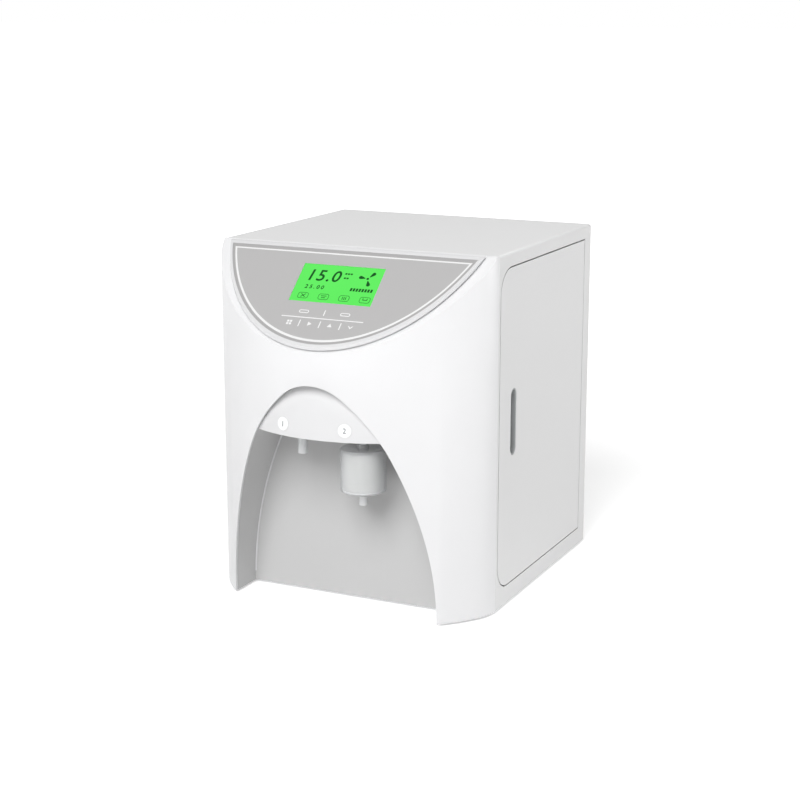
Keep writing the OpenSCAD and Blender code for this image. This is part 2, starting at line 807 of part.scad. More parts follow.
block_h = 12;
module hinge_block(z) {
  z0 = z == 0 ? door_bottom + door_flange_in : door_top - door_flange_in - block_h;
  translate([half_w - door_fold, hinge_y - 5, z0])
    cube([door_fold - sheet - door_bond, hinge_in + 5 - door_flange_in, block_h]);
}
module hinge_bore(z) {
  z0 = z == 0 ? door_bottom - 1 : door_top - block_h - door_flange_in - 1;
  translate([hinge_x, hinge_y, z0]) cylinder(r = pin_r + run, h = block_h + door_flange_in + 2);
}

module door_pull() {
  cup_t = 1.5;
  color("#a9abac") place() difference() {
    union() {
      across(half_w - sheet - pull_deep, half_w - 0.4) translate([pull_y, pull_z])
        stadium2d(pull_len - 2 * fit, pull_w - 2 * fit);
      across(half_w - sheet - 1.2, half_w - sheet) translate([pull_y, pull_z])
        stadium2d(pull_len + 5, pull_w + 5);
    }
    across(half_w - sheet - pull_deep + cup_t, half_w + 1) translate([pull_y, pull_z])
      stadium2d(pull_len - 2 * fit - 2 * cup_t, pull_w - 2 * fit - 2 * cup_t);
  }
}

// Two pins, each with a collar that fills the gap between the frame and the door's fold
module hinge_pins() {
  collar = door_gap + door_flange_in - fit;
  collar_r = pin_r + 0.7;
  color("#b9bcbf") place() for (z = [0, 1]) translate([hinge_x, hinge_y, z == 0 ? door_bottom : door_top])
    mirror([0, 0, z]) {
      translate([0, 0, -door_gap - frame_t])
        cylinder(r = pin_r, h = frame_t + door_gap + door_flange_in + block_h - 1);
      translate([0, 0, -door_gap]) cylinder(r = collar_r, h = collar);
    }
}

module door_magnets() {
  x0 = half_w - sheet - frame_deep + 2;
  color("#4a4c50") place() for (z = magnet_z)
    translate([x0, door_front + 1.5, z - 10]) cube([half_w - door_fold - fit - x0, 10, 20]);
}

// ---------- chassis ----------

module base_tray() {
  lip = 14;
  color("#c9cccf") place() difference() {
    translate([-tray_x, tray_front, 0]) cube([2 * tray_x, rear_in - tray_front, lip]);
    translate([-tray_x + sheet, tray_front + sheet, sheet])
      cube([2 * tray_x - 2 * sheet, rear_in - tray_front - 2 * sheet, lip]);
    // room for the cover's tongue and wall at the front corners
    for (s = [-1, 1]) translate([s * (half_w - 20) - 21, tray_front - 1, -1])
      cube([42, seam_y + tongue_d + fit + 1 - tray_front, lip + 2]);
    for (x = [-3:3]) translate([x * 18 - 9 - 20, 60, -1]) linear_extrude(sheet + 2) stadium2d(60, 5);
  }
}

module feet() {
  foot_r = 14;
  inset_xy = 32;
  color("#26282a") place() for (x = [-1, 1], y = [tray_front + inset_xy + 8, rear_in - inset_xy])
    translate([x * (half_w - inset_xy), y, -foot_h]) cylinder(r = foot_r, h = foot_h);
}

module rear_panel() {
  color("#dcdee0") place() difference() {
    along_y(rear_in, body_d) intersection() {
      housing2d(0);
      translate([-half_w, 0]) square([body_w, body_h]);
    }
    for (i = [0:3]) along_y(0, far) translate([port_x(i), port_z]) circle(port_r + fit);
    for (c = [[inlet_x, inlet_w, inlet_h], [switch_x, switch_w, switch_h]])
      along_y(0, far) translate([c[0], mains_z]) square([c[1] + 2 * fit, c[2] + 2 * fit], center = true);
    for (i = [0:11]) along_y(0, far) translate([inlet_x + 2 + i * 12, rail_z]) stadium2d(50, 4);
    for (p = screw_places()) along_y(0, far) translate(p) circle(1.6);
  }
}

function screw_places() = [for (x = [-1, 0, 1], z = [screw_low, body_h - screw_low]) [x * screw_x, z],
  for (x = [-1, 1], z = [0.35, 0.675]) [x * screw_x, z * body_h]];

module rear_screws() {
  color("#8f9397") place() for (p = screw_places()) translate([p[0], body_d, p[1]]) rotate([-90, 0, 0]) {
    difference() {
      cylinder(r = screw_head_r, h = screw_head_h);
      for (a = [0, 90]) rotate(a) translate([-2.2, -0.4, screw_head_h - 0.8]) cube([4.4, 0.8, 2]);
    }
    translate([0, 0, -sheet]) cylinder(r = 1.6, h = sheet + 0.1);
  }
}

module bulkhead() {
  top = rail_z;
  front = seam_y + tongue_d + 4;
  color("#c4c7ca") place() difference() {
    union() {
      translate([bulkhead_x, front, sheet]) cube([sheet, rear_in - sheet - fit - front, top - sheet]);
      translate([bulkhead_x, front, sheet]) cube([16, rear_in - sheet - fit - front, sheet]);
    }
    // holes for the two tubes that bend down behind the cartridge heads
    for (y = [front_cart_y, rear_cart_y]) across(0, far) translate([y, head_port_z - 3]) circle(tube_r + 6);
  }
}

module cartridge_rail() {
  front = cart_mid_y - 1.5 * cart_pitch;
  len = 3 * cart_pitch;
  rail_w = half_w - frame_deep - sheet - 6 - bulkhead_x;
  color("#b9bdc1") place() difference() {
    union() {
      translate([bulkhead_x, front, rail_z]) cube([rail_w, len, sheet]);
      translate([bulkhead_x + rail_w - sheet, front, rail_z]) cube([sheet, len, 14]);
    }
    for (i = [-1:1]) translate([cart_x, cart_mid_y + i * cart_pitch, rail_z - 1]) cylinder(r = 9, h = 10);
  }
}

module cartridge_heads() {
  color("#eceded") place() for (i = [-1:1]) translate([cart_x, cart_mid_y + i * cart_pitch, rail_z - head_h])
    difference() {
      union() {
        cylinder(r = head_r, h = head_h);
        cylinder(r = 9 - fit, h = head_h + sheet + 6);
        translate([-head_r - 4, -8, head_h - 24]) cube([12, 16, 18]);
      }
      // socket for the cartridge's neck, with the port to the bulkhead side
      translate([0, 0, -1]) cylinder(r = 20, h = 15);
      translate([-head_r - 5, 0, head_h - 14]) rotate([0, 90, 0]) cylinder(r = seat_r, h = 14);
    }
}

// Quarter-turn cartridge i, hung by its neck in a head
module cartridge(i) {
  neck_r = 20 - 0.3;
  neck_h = 12;
  grips = 12;
  color("#f0f2f2") place()
    translate([cart_x, cart_mid_y + (i - 2) * cart_pitch, rail_z - head_h - cart_len]) difference() {
      union() {
        rotate_extrude($fn = 96) {
          square([cart_r - 8, cart_len - 0.4]);
          translate([0, 8]) square([cart_r, cart_len - 16.4]);
          for (z = [8, cart_len - 8.4]) translate([cart_r - 8, z]) circle(8, $fn = 48);
        }
        cylinder(r = neck_r, h = cart_len + neck_h);
        for (a = [0:grips - 1]) rotate(a * 360 / grips) translate([cart_r - 1, -1.5, 12]) cube([2.4, 3, 40]);
      }
      for (a = [0, 180]) rotate(a) translate([12, 0, cart_len + neck_h - 8]) cylinder(r = 3, h = 10);
    }
}
module cartridge_1() { cartridge(1); }
module cartridge_2() { cartridge(2); }
module cartridge_3() { cartridge(3); }

// Pressure vessel with screwed end caps and a tube nipple on top
module vessel(r) {
  translate([0, 0, vessel_z]) difference() {
    union() {
      cylinder(r = r - 2, h = vessel_len, $fn = 96);
      for (z = [saddle_h + 14, vessel_len - cap_h]) translate([0, 0, z]) cylinder(r = r, h = cap_h, $fn = 96);
      translate([0, 0, vessel_len]) cylinder(r = 14, h = 8);
      translate([0, 0, vessel_len]) cylinder(r = 7, h = nipple_h);
    }
    translate([0, 0, vessel_len + 4]) cylinder(r = seat_r, h = far);
  }
}

module membrane_vessel() {
  color("#e9ebec") place() {
    translate([vessel_x, vessel_y, 0]) vessel(vessel_r);
    // feed elbow near the foot of the vessel, facing the pump
    translate([vessel_x + vessel_r - 6, vessel_y, feed_port_z]) rotate([0, 90, 0]) difference() {
      cylinder(r = 7, h = feed_port_len + 6);
      translate([0, 0, feed_port_len - 4]) cylinder(r = seat_r, h = 20);
    }
  }
}

module polishing_column() {
  color("#dfe6ea") place() translate([column_x, column_y, 0]) vessel(column_r);
}

module vessel_saddles() {
  color("#8d9296") place() for (v = [[vessel_x, vessel_y, vessel_r], [column_x, column_y, column_r]])
    translate([v[0], v[1], sheet]) difference() {
      union() {
        cylinder(r = v[2] + 2, h = vessel_z + saddle_h - sheet, $fn = 96);
        translate([-v[2] - 5, -12, 0]) cube([2 * v[2] + 10, 24, 5]);
      }
      translate([0, 0, vessel_z - sheet]) cylinder(r = v[2] - 2 + fit, h = far, $fn = 96);
      translate([0, 0, -1]) cylinder(r = v[2] - 12, h = far);
    }
}

module pump_motor() {
  color("#2b2e31") place() translate([pump_x, pump_front + pump_head_len, pump_z]) {
    rotate([-90, 0, 0]) cylinder(r = motor_r, h = motor_len, $fn = 96);
    rotate([-90, 0, 0]) translate([0, 0, motor_len]) cylinder(r = 12, h = 5);
    // cradle foot on the base
    difference() {
      translate([-motor_r + 4, 12, sheet - pump_z]) cube([2 * motor_r - 8, motor_len - 24, pump_z - sheet]);
      translate([-motor_r + 10, 11, sheet - pump_z + 4])
        cube([2 * motor_r - 20, motor_len, pump_z - motor_r - 8]);
    }
  }
}

module pump_head() {
  color("#3b3f43") place() translate([pump_x, pump_front, pump_z]) rotate([-90, 0, 0]) difference() {
    union() {
      cylinder(r = motor_r + 3, h = pump_head_len, $fn = 96);
      translate([-motor_r - 3, -motor_r - 3, pump_head_len - 8]) cube([2 * motor_r + 6, 2 * motor_r + 6, 8]);
      for (a = [[0, 90, 0], [90, 0, 0]]) translate([0, 0, pump_head_len / 2]) rotate(a)
        cylinder(r = 7, h = motor_r + pump_port_len);
    }
    // inlet on the right, outlet on top
    for (a = [[0, 90, 0], [90, 0, 0]]) translate([0, 0, pump_head_len / 2]) rotate(a)
      translate([0, 0, motor_r + 5]) cylinder(r = seat_r, h = 20);
  }
}

module power_supply() {
  color("#b4b8bb") place() difference() {
    translate([psu_in - half_w, rear_in - psu_d, psu_z]) cube([psu_w, psu_d, psu_h]);
    for (i = [0:9]) translate([psu_in - half_w + 10 + i * (psu_w - 15) / 10, rear_in - psu_d - 1, psu_z + 30])
      cube([3, 4, psu_h - 60]);
  }
}

module control_board() {
  board_t = 1.6;
  stand = 6;
  color("#1f6f41") place() translate([bulkhead_x, board_y, board_z]) {
    translate([-stand - board_t, 0, 0]) cube([board_t, board_w, board_h]);
    for (y = [8, board_w - 8], z = [8, board_h - 8]) translate([-stand - 0.1, y, z]) rotate([0, 90, 0])
      cylinder(r = 3, h = stand + 0.1);
    for (i = [0:4]) translate([-stand - board_t - 9, 14 + i * 26, 10]) cube([9.1, 18, 14]);
    translate([-stand - board_t - 20, 20, 60]) cube([20.1, 34, 36]);
    translate([-stand - board_t - 4, 80, 55]) cube([4.1, 26, 26]);
    for (i = [0:2]) translate([-stand - board_t + 0.1, 118, 48 + i * 20]) rotate([0, -90, 0])
      cylinder(r = 6, h = 18);
  }
}

// One valve above each of the first three ports
module solenoid_valves() {
  coil_w = port_pitch - 4;
  color("#d7dadc") place() for (i = [0:2]) translate([port_x(i), rear_in, valve_z]) difference() {
    union() {
      translate([-coil_w / 2, -valve_deep, -16]) cube([coil_w, valve_deep, 20]);
      translate([0, -16, 3]) cylinder(r = 6, h = 6);
      translate([-coil_w / 2 + 1, -valve_deep, 8]) cube([coil_w - 2, valve_deep - 4, 26]);
      translate([0, -valve_deep - valve_port_len, -6]) rotate([-90, 0, 0])
        cylinder(r = 7, h = valve_port_len + 1);
    }
    translate([0, -valve_deep - valve_port_len - 1, -6]) rotate([-90, 0, 0])
      cylinder(r = seat_r, h = valve_port_len + 8);
  }
}

module conductivity_cell() {
  x = outlet_x;
  color("#cfd3d6") place() translate([x, cell_y, cell_z]) difference() {
    union() {
      cylinder(r = cell_r, h = cell_len);
      translate([0, -5, 14]) cube([bulkhead_x - x, 10, 16]);
      translate([0, 0, -6]) cylinder(r = 7, h = cell_len + 12);
    }
    translate([0, 0, -7]) cylinder(r = seat_r, h = 9);
    translate([0, 0, cell_len - 2]) cylinder(r = seat_r, h = 9);
  }
}

// ---------- tubing ----------

function unit(v) = v / norm(v);
// Angles that turn the x, y and z axes to a, b and their cross product
function turn(a, b) = let (c = cross(a, b))
  abs(a[2]) > 0.99
    ? [a[2] > 0 ? atan2(-b[0], b[1]) : atan2(b[0], b[1]), a[2] > 0 ? -90 : 90, 0]
    : [atan2(b[2], c[2]), asin(-a[2]), atan2(a[1], a[0])];

// Hollow tube along straight runs that meet at right angles, with round bends between them
module tube(points, outer = tube_r, inner = tube_bore_r, bend = bend_r) {
  last = len(points) - 1;
  for (i = [0:last - 1]) {
    d = unit(points[i + 1] - points[i]);
    trim0 = i == 0 ? 0 : bend;
    trim1 = i == last - 1 ? 0 : bend;
    run_len = norm(points[i + 1] - points[i]) - trim0 - trim1;
    translate(points[i] + trim0 * d) rotate([0, acos(d[2]), atan2(d[1], d[0])])
      linear_extrude(run_len) ring2d(outer, inner);
  }
  for (i = [1:1:last - 1]) {
    u = unit(points[i] - points[i - 1]);
    v = unit(points[i + 1] - points[i]);
    translate(points[i] + bend * (v - u)) rotate(turn(-v, u))
      rotate_extrude(angle = 90, $fn = 64) translate([bend, 0]) ring2d(outer, inner);
  }
}

head_port_x = cart_x - head_r - 2;
head_port_z = rail_z - 14;
rear_cart_y = cart_mid_y + cart_pitch;
front_cart_y = cart_mid_y - cart_pitch;
tube_start_y = rear_in - union_in + 4;
// Feed tube to the rear cartridge and three tubes up to the valves
module port_tubes() {
  x = port_x(3);
  riser_y = rear_in - valve_deep - valve_port_len - bend_r - 4;
  color("#e8f0f4") place() {
    tube([[x, tube_start_y, port_z], [x, rear_cart_y, port_z],
      [x, rear_cart_y, head_port_z], [head_port_x, rear_cart_y, head_port_z]]);
    for (i = [0:2]) tube([[port_x(i), tube_start_y, port_z], [port_x(i), riser_y, port_z],
      [port_x(i), riser_y, valve_z - 6], [port_x(i), rear_in - valve_deep - 3, valve_z - 6]]);
  }
}

pump_port_y = pump_front + pump_head_len / 2;
module pump_tube() {
  x = bulkhead_x - tube_r - 1;
  level = 150;
  color("#e8f0f4") place() tube([[head_port_x, front_cart_y, head_port_z], [x, front_cart_y, head_port_z],
    [x, front_cart_y, level], [x, pump_port_y, level], [x, pump_port_y, pump_z],
    [pump_x + motor_r + 8, pump_port_y, pump_z]]);
}

module membrane_tube() {
  level = pump_z + motor_r + 50;
  color("#e8f0f4") place() tube([[pump_x, pump_port_y, pump_z + motor_r + 8], [pump_x, pump_port_y, level],
    [pump_x, vessel_y, level], [pump_x, vessel_y, feed_port_z],
    [vessel_x + vessel_r + feed_port_len - 6, vessel_y, feed_port_z]]);
}

module ro_tube() {
  color("#e8f0f4") place() tube([[vessel_x, vessel_y, vessel_z + vessel_len + 6],
    [vessel_x, vessel_y, ro_high], [-outlet_x, vessel_y, ro_high], [-outlet_x, 12, ro_high],
    [-outlet_x, 12, tube_hole_z], [-outlet_x, -outlet_out, tube_hole_z],
    [-outlet_x, -outlet_out, hood_z + 7]]);
}

module product_tube() {
  color("#e8f0f4") place() {
    tube([[column_x, column_y, vessel_z + vessel_len + 6], [column_x, column_y, product_high],
      [outlet_x, column_y, product_high], [outlet_x, cell_y, product_high],
      [outlet_x, cell_y, cell_z + cell_len]]);
    tube([[outlet_x, cell_y, cell_z], [outlet_x, cell_y, tube_hole_z],
      [outlet_x, -outlet_out, tube_hole_z], [outlet_x, -outlet_out, hood_z + 7]]);
  }
}

// ---------- rear fittings ----------

module port_unions() {
  color("#eef0f1") place() for (i = [0:3]) translate([port_x(i), body_d, port_z]) rotate([-90, 0, 0])
    difference() {
      union() {
        translate([0, 0, -union_in]) cylinder(r = port_r, h = union_in + port_out - collet_travel - 2);
        cylinder(r = 11.5, h = 6, $fn = 6);
        translate([0, 0, -sheet - 5]) cylinder(r = 11.5, h = 5, $fn = 6);
      }
      translate([0, 0, -12]) cylinder(r = collet_r + run, h = far);
      translate([0, 0, -union_in - 1]) cylinder(r = seat_r, h = union_in - 10);
    }
}

module collet(i) {
  color("#3f6fb0") place() translate([port_x(i - 1), body_d, port_z]) rotate([-90, 0, 0])
    difference() {
      union() {
        translate([0, 0, -9]) cylinder(r = collet_r, h = 9 + port_out);
        translate([0, 0, port_out - 2]) cylinder(r = collet_r + 2, h = 2);
      }
      translate([0, 0, -10]) cylinder(r = seat_r, h = far);
    }
}
module collet_1() { collet(1); }
module collet_2() { collet(2); }
module collet_3() { collet(3); }
module collet_4() { collet(4); }

module mains_inlet() {
  color("#1b1c1e") place() translate([inlet_x, body_d, mains_z]) rotate([90, 0, 0]) {
    difference() {
      union() {
        translate([0, 0, -2]) linear_extrude(2) round_rect2d(inlet_w + 10, inlet_h + 6, 3);
        linear_extrude(26) square([inlet_w, inlet_h], center = true);
      }
      translate([-inlet_w / 2 + 18, 0, -3]) linear_extrude(20) round_rect2d(26, 19, 3);
      translate([inlet_w / 2 - 8, 0, -3])
        linear_extrude(16) square([8 + 2 * run, 20 + 2 * run], center = true);
    }
    // three contact blades, set back from the mouth
    for (p = [[0, 4], [-7, -3], [7, -3]]) translate([-inlet_w / 2 + 18 + p[0], p[1], 4]) linear_extrude(16)
      square([2, 4], center = true);
  }
}

module fuse_drawer() {
  color("#303236") place() translate([inlet_x + inlet_w / 2 - 8, body_d, mains_z]) rotate([90, 0, 0]) {
    translate([0, 0, -3]) linear_extrude(15) square([8, 20], center = true);
    translate([0, 0, -4]) linear_extrude(2 - fit) square([9.5, 22], center = true);
  }
}

module power_switch() {
  color("#1b1c1e") place() translate([switch_x, body_d, mains_z]) rotate([90, 0, 0]) difference() {
    union() {
      translate([0, 0, -2]) linear_extrude(2) round_rect2d(switch_w + 5, switch_h + 5, 2);
      linear_extrude(22) square([switch_w, switch_h], center = true);
    }
    translate([0, 0, -3]) linear_extrude(16) square([switch_w - 5, switch_h - 5], center = true);
  }
}

// Rocker turns about an axle along x, hollow towards the rear like a real paddle
module power_rocker() {
  w = switch_w - 5.6;
  color("#2a2c2f") place() translate([switch_x, body_d - 1, mains_z]) rotate([0, 90, 0]) rotate(rocker_tilt)
    difference() {
      intersection() {
        translate([0, 0, -w / 2]) cylinder(r = 11.8, h = w, $fn = 96);
        translate([-12, -8, -w / 2]) cube([24, 11, w]);
      }
      translate([0, 24, -w / 2 - 1]) cylinder(r = 22.5, h = w + 2, $fn = 96);
    }
}

front_cover();
panel_bezel();
panel_film();
panel_marks();
display_frame();
display_glass();
display_digits();
key_board();
key_1();
key_2();
key_3();
key_4();
key_5();
key_6();
outlet_hood();
bay_liner();
label_discs();
ro_nozzle();
filter_adapter();
filter_shell();
filter_core();
housing_shell();
door_frame();
service_door();
door_pull();
hinge_pins();
door_magnets();
base_tray();
feet();
rear_panel();
rear_screws();
bulkhead();
cartridge_rail();
cartridge_heads();
cartridge_1();
cartridge_2();
cartridge_3();
membrane_vessel();
polishing_column();
vessel_saddles();
pump_motor();
pump_head();
power_supply();
control_board();
solenoid_valves();
conductivity_cell();
port_tubes();
pump_tube();
membrane_tube();
ro_tube();
product_tube();
port_unions();
collet_1();
collet_2();
collet_3();
collet_4();
mains_inlet();
fuse_drawer();
power_switch();
power_rocker();
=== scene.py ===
import bmesh
import bpy
import json
import math
from mathutils import Euler, Matrix, Vector

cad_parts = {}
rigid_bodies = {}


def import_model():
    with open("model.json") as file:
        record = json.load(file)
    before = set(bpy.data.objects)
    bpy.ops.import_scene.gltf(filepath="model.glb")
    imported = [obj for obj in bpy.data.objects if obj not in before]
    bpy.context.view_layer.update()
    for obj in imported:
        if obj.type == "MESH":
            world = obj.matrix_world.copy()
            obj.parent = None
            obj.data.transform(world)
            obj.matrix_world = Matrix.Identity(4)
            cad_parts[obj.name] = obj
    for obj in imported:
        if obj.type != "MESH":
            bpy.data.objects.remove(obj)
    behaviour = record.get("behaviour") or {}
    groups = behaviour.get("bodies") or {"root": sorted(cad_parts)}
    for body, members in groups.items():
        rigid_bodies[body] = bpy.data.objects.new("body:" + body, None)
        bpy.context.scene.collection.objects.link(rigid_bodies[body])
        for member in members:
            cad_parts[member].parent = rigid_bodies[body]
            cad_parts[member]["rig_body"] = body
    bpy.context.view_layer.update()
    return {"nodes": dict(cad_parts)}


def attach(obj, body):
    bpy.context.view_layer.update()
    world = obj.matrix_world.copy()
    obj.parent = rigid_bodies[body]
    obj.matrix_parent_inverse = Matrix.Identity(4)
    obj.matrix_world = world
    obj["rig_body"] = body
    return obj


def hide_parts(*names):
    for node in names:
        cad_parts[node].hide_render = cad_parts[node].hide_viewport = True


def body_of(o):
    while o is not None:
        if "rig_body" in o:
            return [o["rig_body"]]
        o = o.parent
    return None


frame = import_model()
nodes = frame["nodes"]
scene = bpy.context.scene
scene.view_settings.view_transform = "Standard"


# ---------- Bench, light and camera ----------
# A pale bench top without an edge, soft lamps high at the front, low at the right and high behind,
# and a dim even room. The room and the bench look white to the camera and in reflections.

def linear(colour):
    parts = [int(colour[i:i + 2], 16) / 255 for i in (1, 3, 5)]
    return [c / 12.92 if c <= 0.04045 else ((c + 0.055) / 1.055) ** 2.4 for c in parts] + [1.0]


def add(tree, kind, settings={}, inputs={}):
    made = tree.nodes.new(kind)
    for name, value in settings.items():
        setattr(made, name, value)
    for name, value in inputs.items():
        if isinstance(value, bpy.types.NodeSocket):
            tree.links.new(value, made.inputs[name])
        else:
            made.inputs[name].default_value = value
    return made


def stand(name, thing, place, aim=None):
    made = bpy.data.objects.new(name, thing)
    scene.collection.objects.link(made)
    made.location = place
    if aim:
        made.rotation_euler = (Vector(aim) - made.location).to_track_quat("-Z", "Y").to_euler()
    return made


object_middle = (0, 0, 0.22)


def soft_lamp(name, watts, size, place):
    lamp = bpy.data.lights.new(name, "AREA")
    lamp.shape = "DISK"
    lamp.size = size
    lamp.energy = watts
    stand(name, lamp, place, object_middle)


room_light = 0.27
bench_half = 30                     # metres
bench_glow = 0.45                   # near the object; it rises to full white far from it
bench_near, bench_far = 0.6, 3.0    # metres from the middle between which it rises
room = bpy.data.worlds.new("bright_room")
room.use_nodes = True
tree = room.node_tree
tree.nodes.clear()
path = add(tree, "ShaderNodeLightPath")
seen = add(tree, "ShaderNodeMath", {"operation": "MAXIMUM"},
           {0: path.outputs["Is Camera Ray"], 1: path.outputs["Is Transmission Ray"]})
seen = add(tree, "ShaderNodeMath", {"operation": "MAXIMUM"},
           {0: seen.outputs[0], 1: path.outputs["Is Glossy Ray"]})
level = add(tree, "ShaderNodeMapRange", {}, {"Value": seen.outputs[0], "To Min": room_light, "To Max": 1.0})
glow = add(tree, "ShaderNodeBackground", {}, {"Color": linear("#ffffff"), "Strength": level.outputs[0]})
add(tree, "ShaderNodeOutputWorld", {}, {"Surface": glow.outputs[0]})
scene.world = room

bench_mesh = bpy.data.meshes.new("bench")
bench_mesh.from_pydata([(x * bench_half, y * bench_half, 0) for x, y in ((-1, -1), (1, -1), (1, 1), (-1, 1))],
                       [], [(0, 1, 2, 3)])
bench = stand("bench", bench_mesh, (0, 0, 0))
bench_top = bpy.data.materials.new("white_bench_top")
bench_top.use_nodes = True
tree = bench_top.node_tree
tree.nodes.clear()
path = add(tree, "ShaderNodeLightPath")
matt = add(tree, "ShaderNodeBsdfDiffuse", {}, {"Color": linear("#f0f0f0")})
seen = add(tree, "ShaderNodeMath", {"operation": "MAXIMUM"},
           {0: path.outputs["Is Camera Ray"], 1: path.outputs["Is Glossy Ray"]})
spot = add(tree, "ShaderNodeTexCoord")
away = add(tree, "ShaderNodeVectorMath", {"operation": "LENGTH"}, {0: spot.outputs["Object"]})
rise = add(tree, "ShaderNodeMapRange", {}, {"Value": away.outputs["Value"], "From Min": bench_near,
                                            "From Max": bench_far, "To Min": bench_glow, "To Max": 1.0})
level = add(tree, "ShaderNodeMath", {"operation": "MULTIPLY"}, {0: seen.outputs[0], 1: rise.outputs[0]})
glow = add(tree, "ShaderNodeEmission", {}, {"Color": linear("#ffffff"), "Strength": level.outputs[0]})
both = add(tree, "ShaderNodeAddShader", {}, {0: matt.outputs[0], 1: glow.outputs[0]})
add(tree, "ShaderNodeOutputMaterial", {}, {"Surface": both.outputs[0]})
bench_mesh.materials.append(bench_top)

soft_lamp("front_lamp", 160, 2.6, (0.35, -3.4, 2.9))
soft_lamp("side_lamp", 38, 1.6, (3.6, 1.3, 1.0))
soft_lamp("rear_lamp", 30, 1.6, (0.5, 3.4, 3.6))

camera = bpy.data.cameras.new("camera")
camera.lens = 77.29                 # the lens, the place and both angles are fitted to the box's edges
camera.sensor_width = 36
scene.camera = stand("camera", camera, (0.85624, -1.77563, 0.67681))
scene.camera.rotation_euler = (math.radians(76.619), 0, math.radians(25.605))


# ---------- Front cover ----------
# The bow front is one injection moulding in white ABS, with the arch cut out of it and a plinth
# for the panel. It slots over the housing's front edge on a tongue. The mould rounds its edges.

def surface(name, colour, rough, metal=0.0, mottle=0.02, mottle_mm=60, **fixed):
    # a shader whose colour drifts by a few per cent over mottle_mm, and what its patterns hang on
    made = bpy.data.materials.new(name)
    made.use_nodes = True
    tree = made.node_tree
    tree.nodes.clear()
    place = add(tree, "ShaderNodeTexCoord").outputs["Object"]
    cloud = add(tree, "ShaderNodeTexNoise", {}, {"Vector": place, "Scale": 1000 / mottle_mm, "Detail": 3.0})
    low, high = [linear(colour), linear(colour)]
    for i in range(3):
        low[i] *= 1 - mottle
        high[i] = min(high[i] * (1 + mottle), 1)
    drift = add(tree, "ShaderNodeMix", {"data_type": "RGBA"}, {0: cloud.outputs["Fac"], 6: low, 7: high})
    shader = add(tree, "ShaderNodeBsdfPrincipled", {}, {"Base Color": drift.outputs[2], "Roughness": rough,
                                                        "Metallic": metal, **fixed})
    add(tree, "ShaderNodeOutputMaterial", {}, {"Surface": shader.outputs[0]})
    return made, tree, place, shader, drift


def relief(tree, shader, height, depth_mm, rough=None, spread=0.04):
    # one pattern gives both the fine relief and the uneven gloss
    bump = add(tree, "ShaderNodeBump", {}, {"Height": height, "Strength": 1.0, "Distance": depth_mm / 1000})
    tree.links.new(bump.outputs[0], shader.inputs["Normal"])
    if rough:
        shine = add(tree, "ShaderNodeMapRange", {}, {"Value": height, "To Min": rough - spread,
                                                     "To Max": rough + spread})
        tree.links.new(shine.outputs[0], shader.inputs["Roughness"])


def moulded(name, colour, rough=0.34, grain_mm=1.1, relief_mm=0.010, **fixed):
    # moulded plastic: a soft gloss over a faint, fine unevenness left by the mould
    made, tree, place, shader, drift = surface(name, colour, rough, **fixed)
    grain = add(tree, "ShaderNodeTexNoise", {}, {"Vector": place, "Scale": 1000 / grain_mm, "Detail": 2.0})
    relief(tree, shader, grain.outputs["Fac"], relief_mm, rough)
    return made


def dress(node, material):
    # the CAD's own mesh with a better material
    for holder in nodes[node].material_slots:
        holder.material = material


def fit(name, mesh, node, material, stands_for=()):
    # a finished mesh that moves with a CAD node's body and takes its material slot
    made = stand(name, mesh, (0, 0, 0))
    mesh.materials.clear()
    mesh.materials.append(material)
    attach(made, body_of(nodes[node])[0])
    if stands_for:
        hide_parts(*stands_for)


small_face = 60e-6                  # square metres; below it a face is always smooth
least_bend = 0.3                    # degrees; below it two faces count as one flat one
hard_bend = 30                      # degrees from which an edge of the CAD's mesh is rounded
crease = 38                         # degrees from which an edge stays sharp to the light
middle_mm = 500                     # turns the sum of two ends in metres into their middle in mm


def sharp_edges(work, bend):
    return [e for e in work.edges if len(e.link_faces) == 2 and e.calc_face_angle(0) > math.radians(bend)]


def shade(work):
    # smooth all but the large flat faces, so that no long sliver bends the light on them
    areas = {face: face.calc_area() for face in work.faces}
    for face, area in areas.items():
        bends = [math.degrees(edge.calc_face_angle(0)) for edge in face.edges
                 if len(edge.link_faces) == 2 and min(areas[f] for f in edge.link_faces) > area / 10]
        face.smooth = area < small_face or any(least_bend < bend < crease for bend in bends)
    creases = set(sharp_edges(work, crease))
    for edge in work.edges:
        edge.smooth = edge not in creases


def round_off(work, edges, radius_mm, steps):
    bmesh.ops.bevel(work, geom=edges, offset=radius_mm / 1000, offset_type="OFFSET", segments=steps,
                    profile=0.5, affect="EDGES", clamp_overlap=True)
    bmesh.ops.dissolve_degenerate(work, edges=work.edges, dist=1e-6)


def finished(work, name):
    shade(work)
    mesh = bpy.data.meshes.new(name)
    work.to_mesh(mesh)
    work.free()
    return mesh


def soften(node, radius_mm, material, steps=3, where=None, rest_mm=0):
    # a copy of the CAD's mesh with its hard edges rounded, as a mould or a press leaves them; where
    # picks the edges that take radius_mm by their middle in mm, and the others take rest_mm
    work = bmesh.new()
    work.from_mesh(nodes[node].data)
    bmesh.ops.remove_doubles(work, verts=work.verts, dist=2e-5)
    bmesh.ops.dissolve_limit(work, angle_limit=math.radians(0.4), verts=work.verts, edges=work.edges,
                             delimit={"NORMAL"})
    hard = sharp_edges(work, hard_bend)
    if where:
        hard = [e for e in hard if where((e.verts[0].co + e.verts[1].co) * middle_mm)]
    round_off(work, hard, radius_mm, steps)
    if rest_mm:
        round_off(work, sharp_edges(work, hard_bend), rest_mm, steps)
    fit(node + "_finished", finished(work, node + "_finished"), node, material, [node])


cover_seam_y = -98.4                # behind this line lies the tongue under the housing
plinth_r, plinth_y = 168, -42       # plan radius and middle of the plinth, whose edges stay crisp
plinth_z = 296                      # its lowest point
cover_abs = moulded("moulded_abs_cover_white", "#e3e3e4", 0.30)


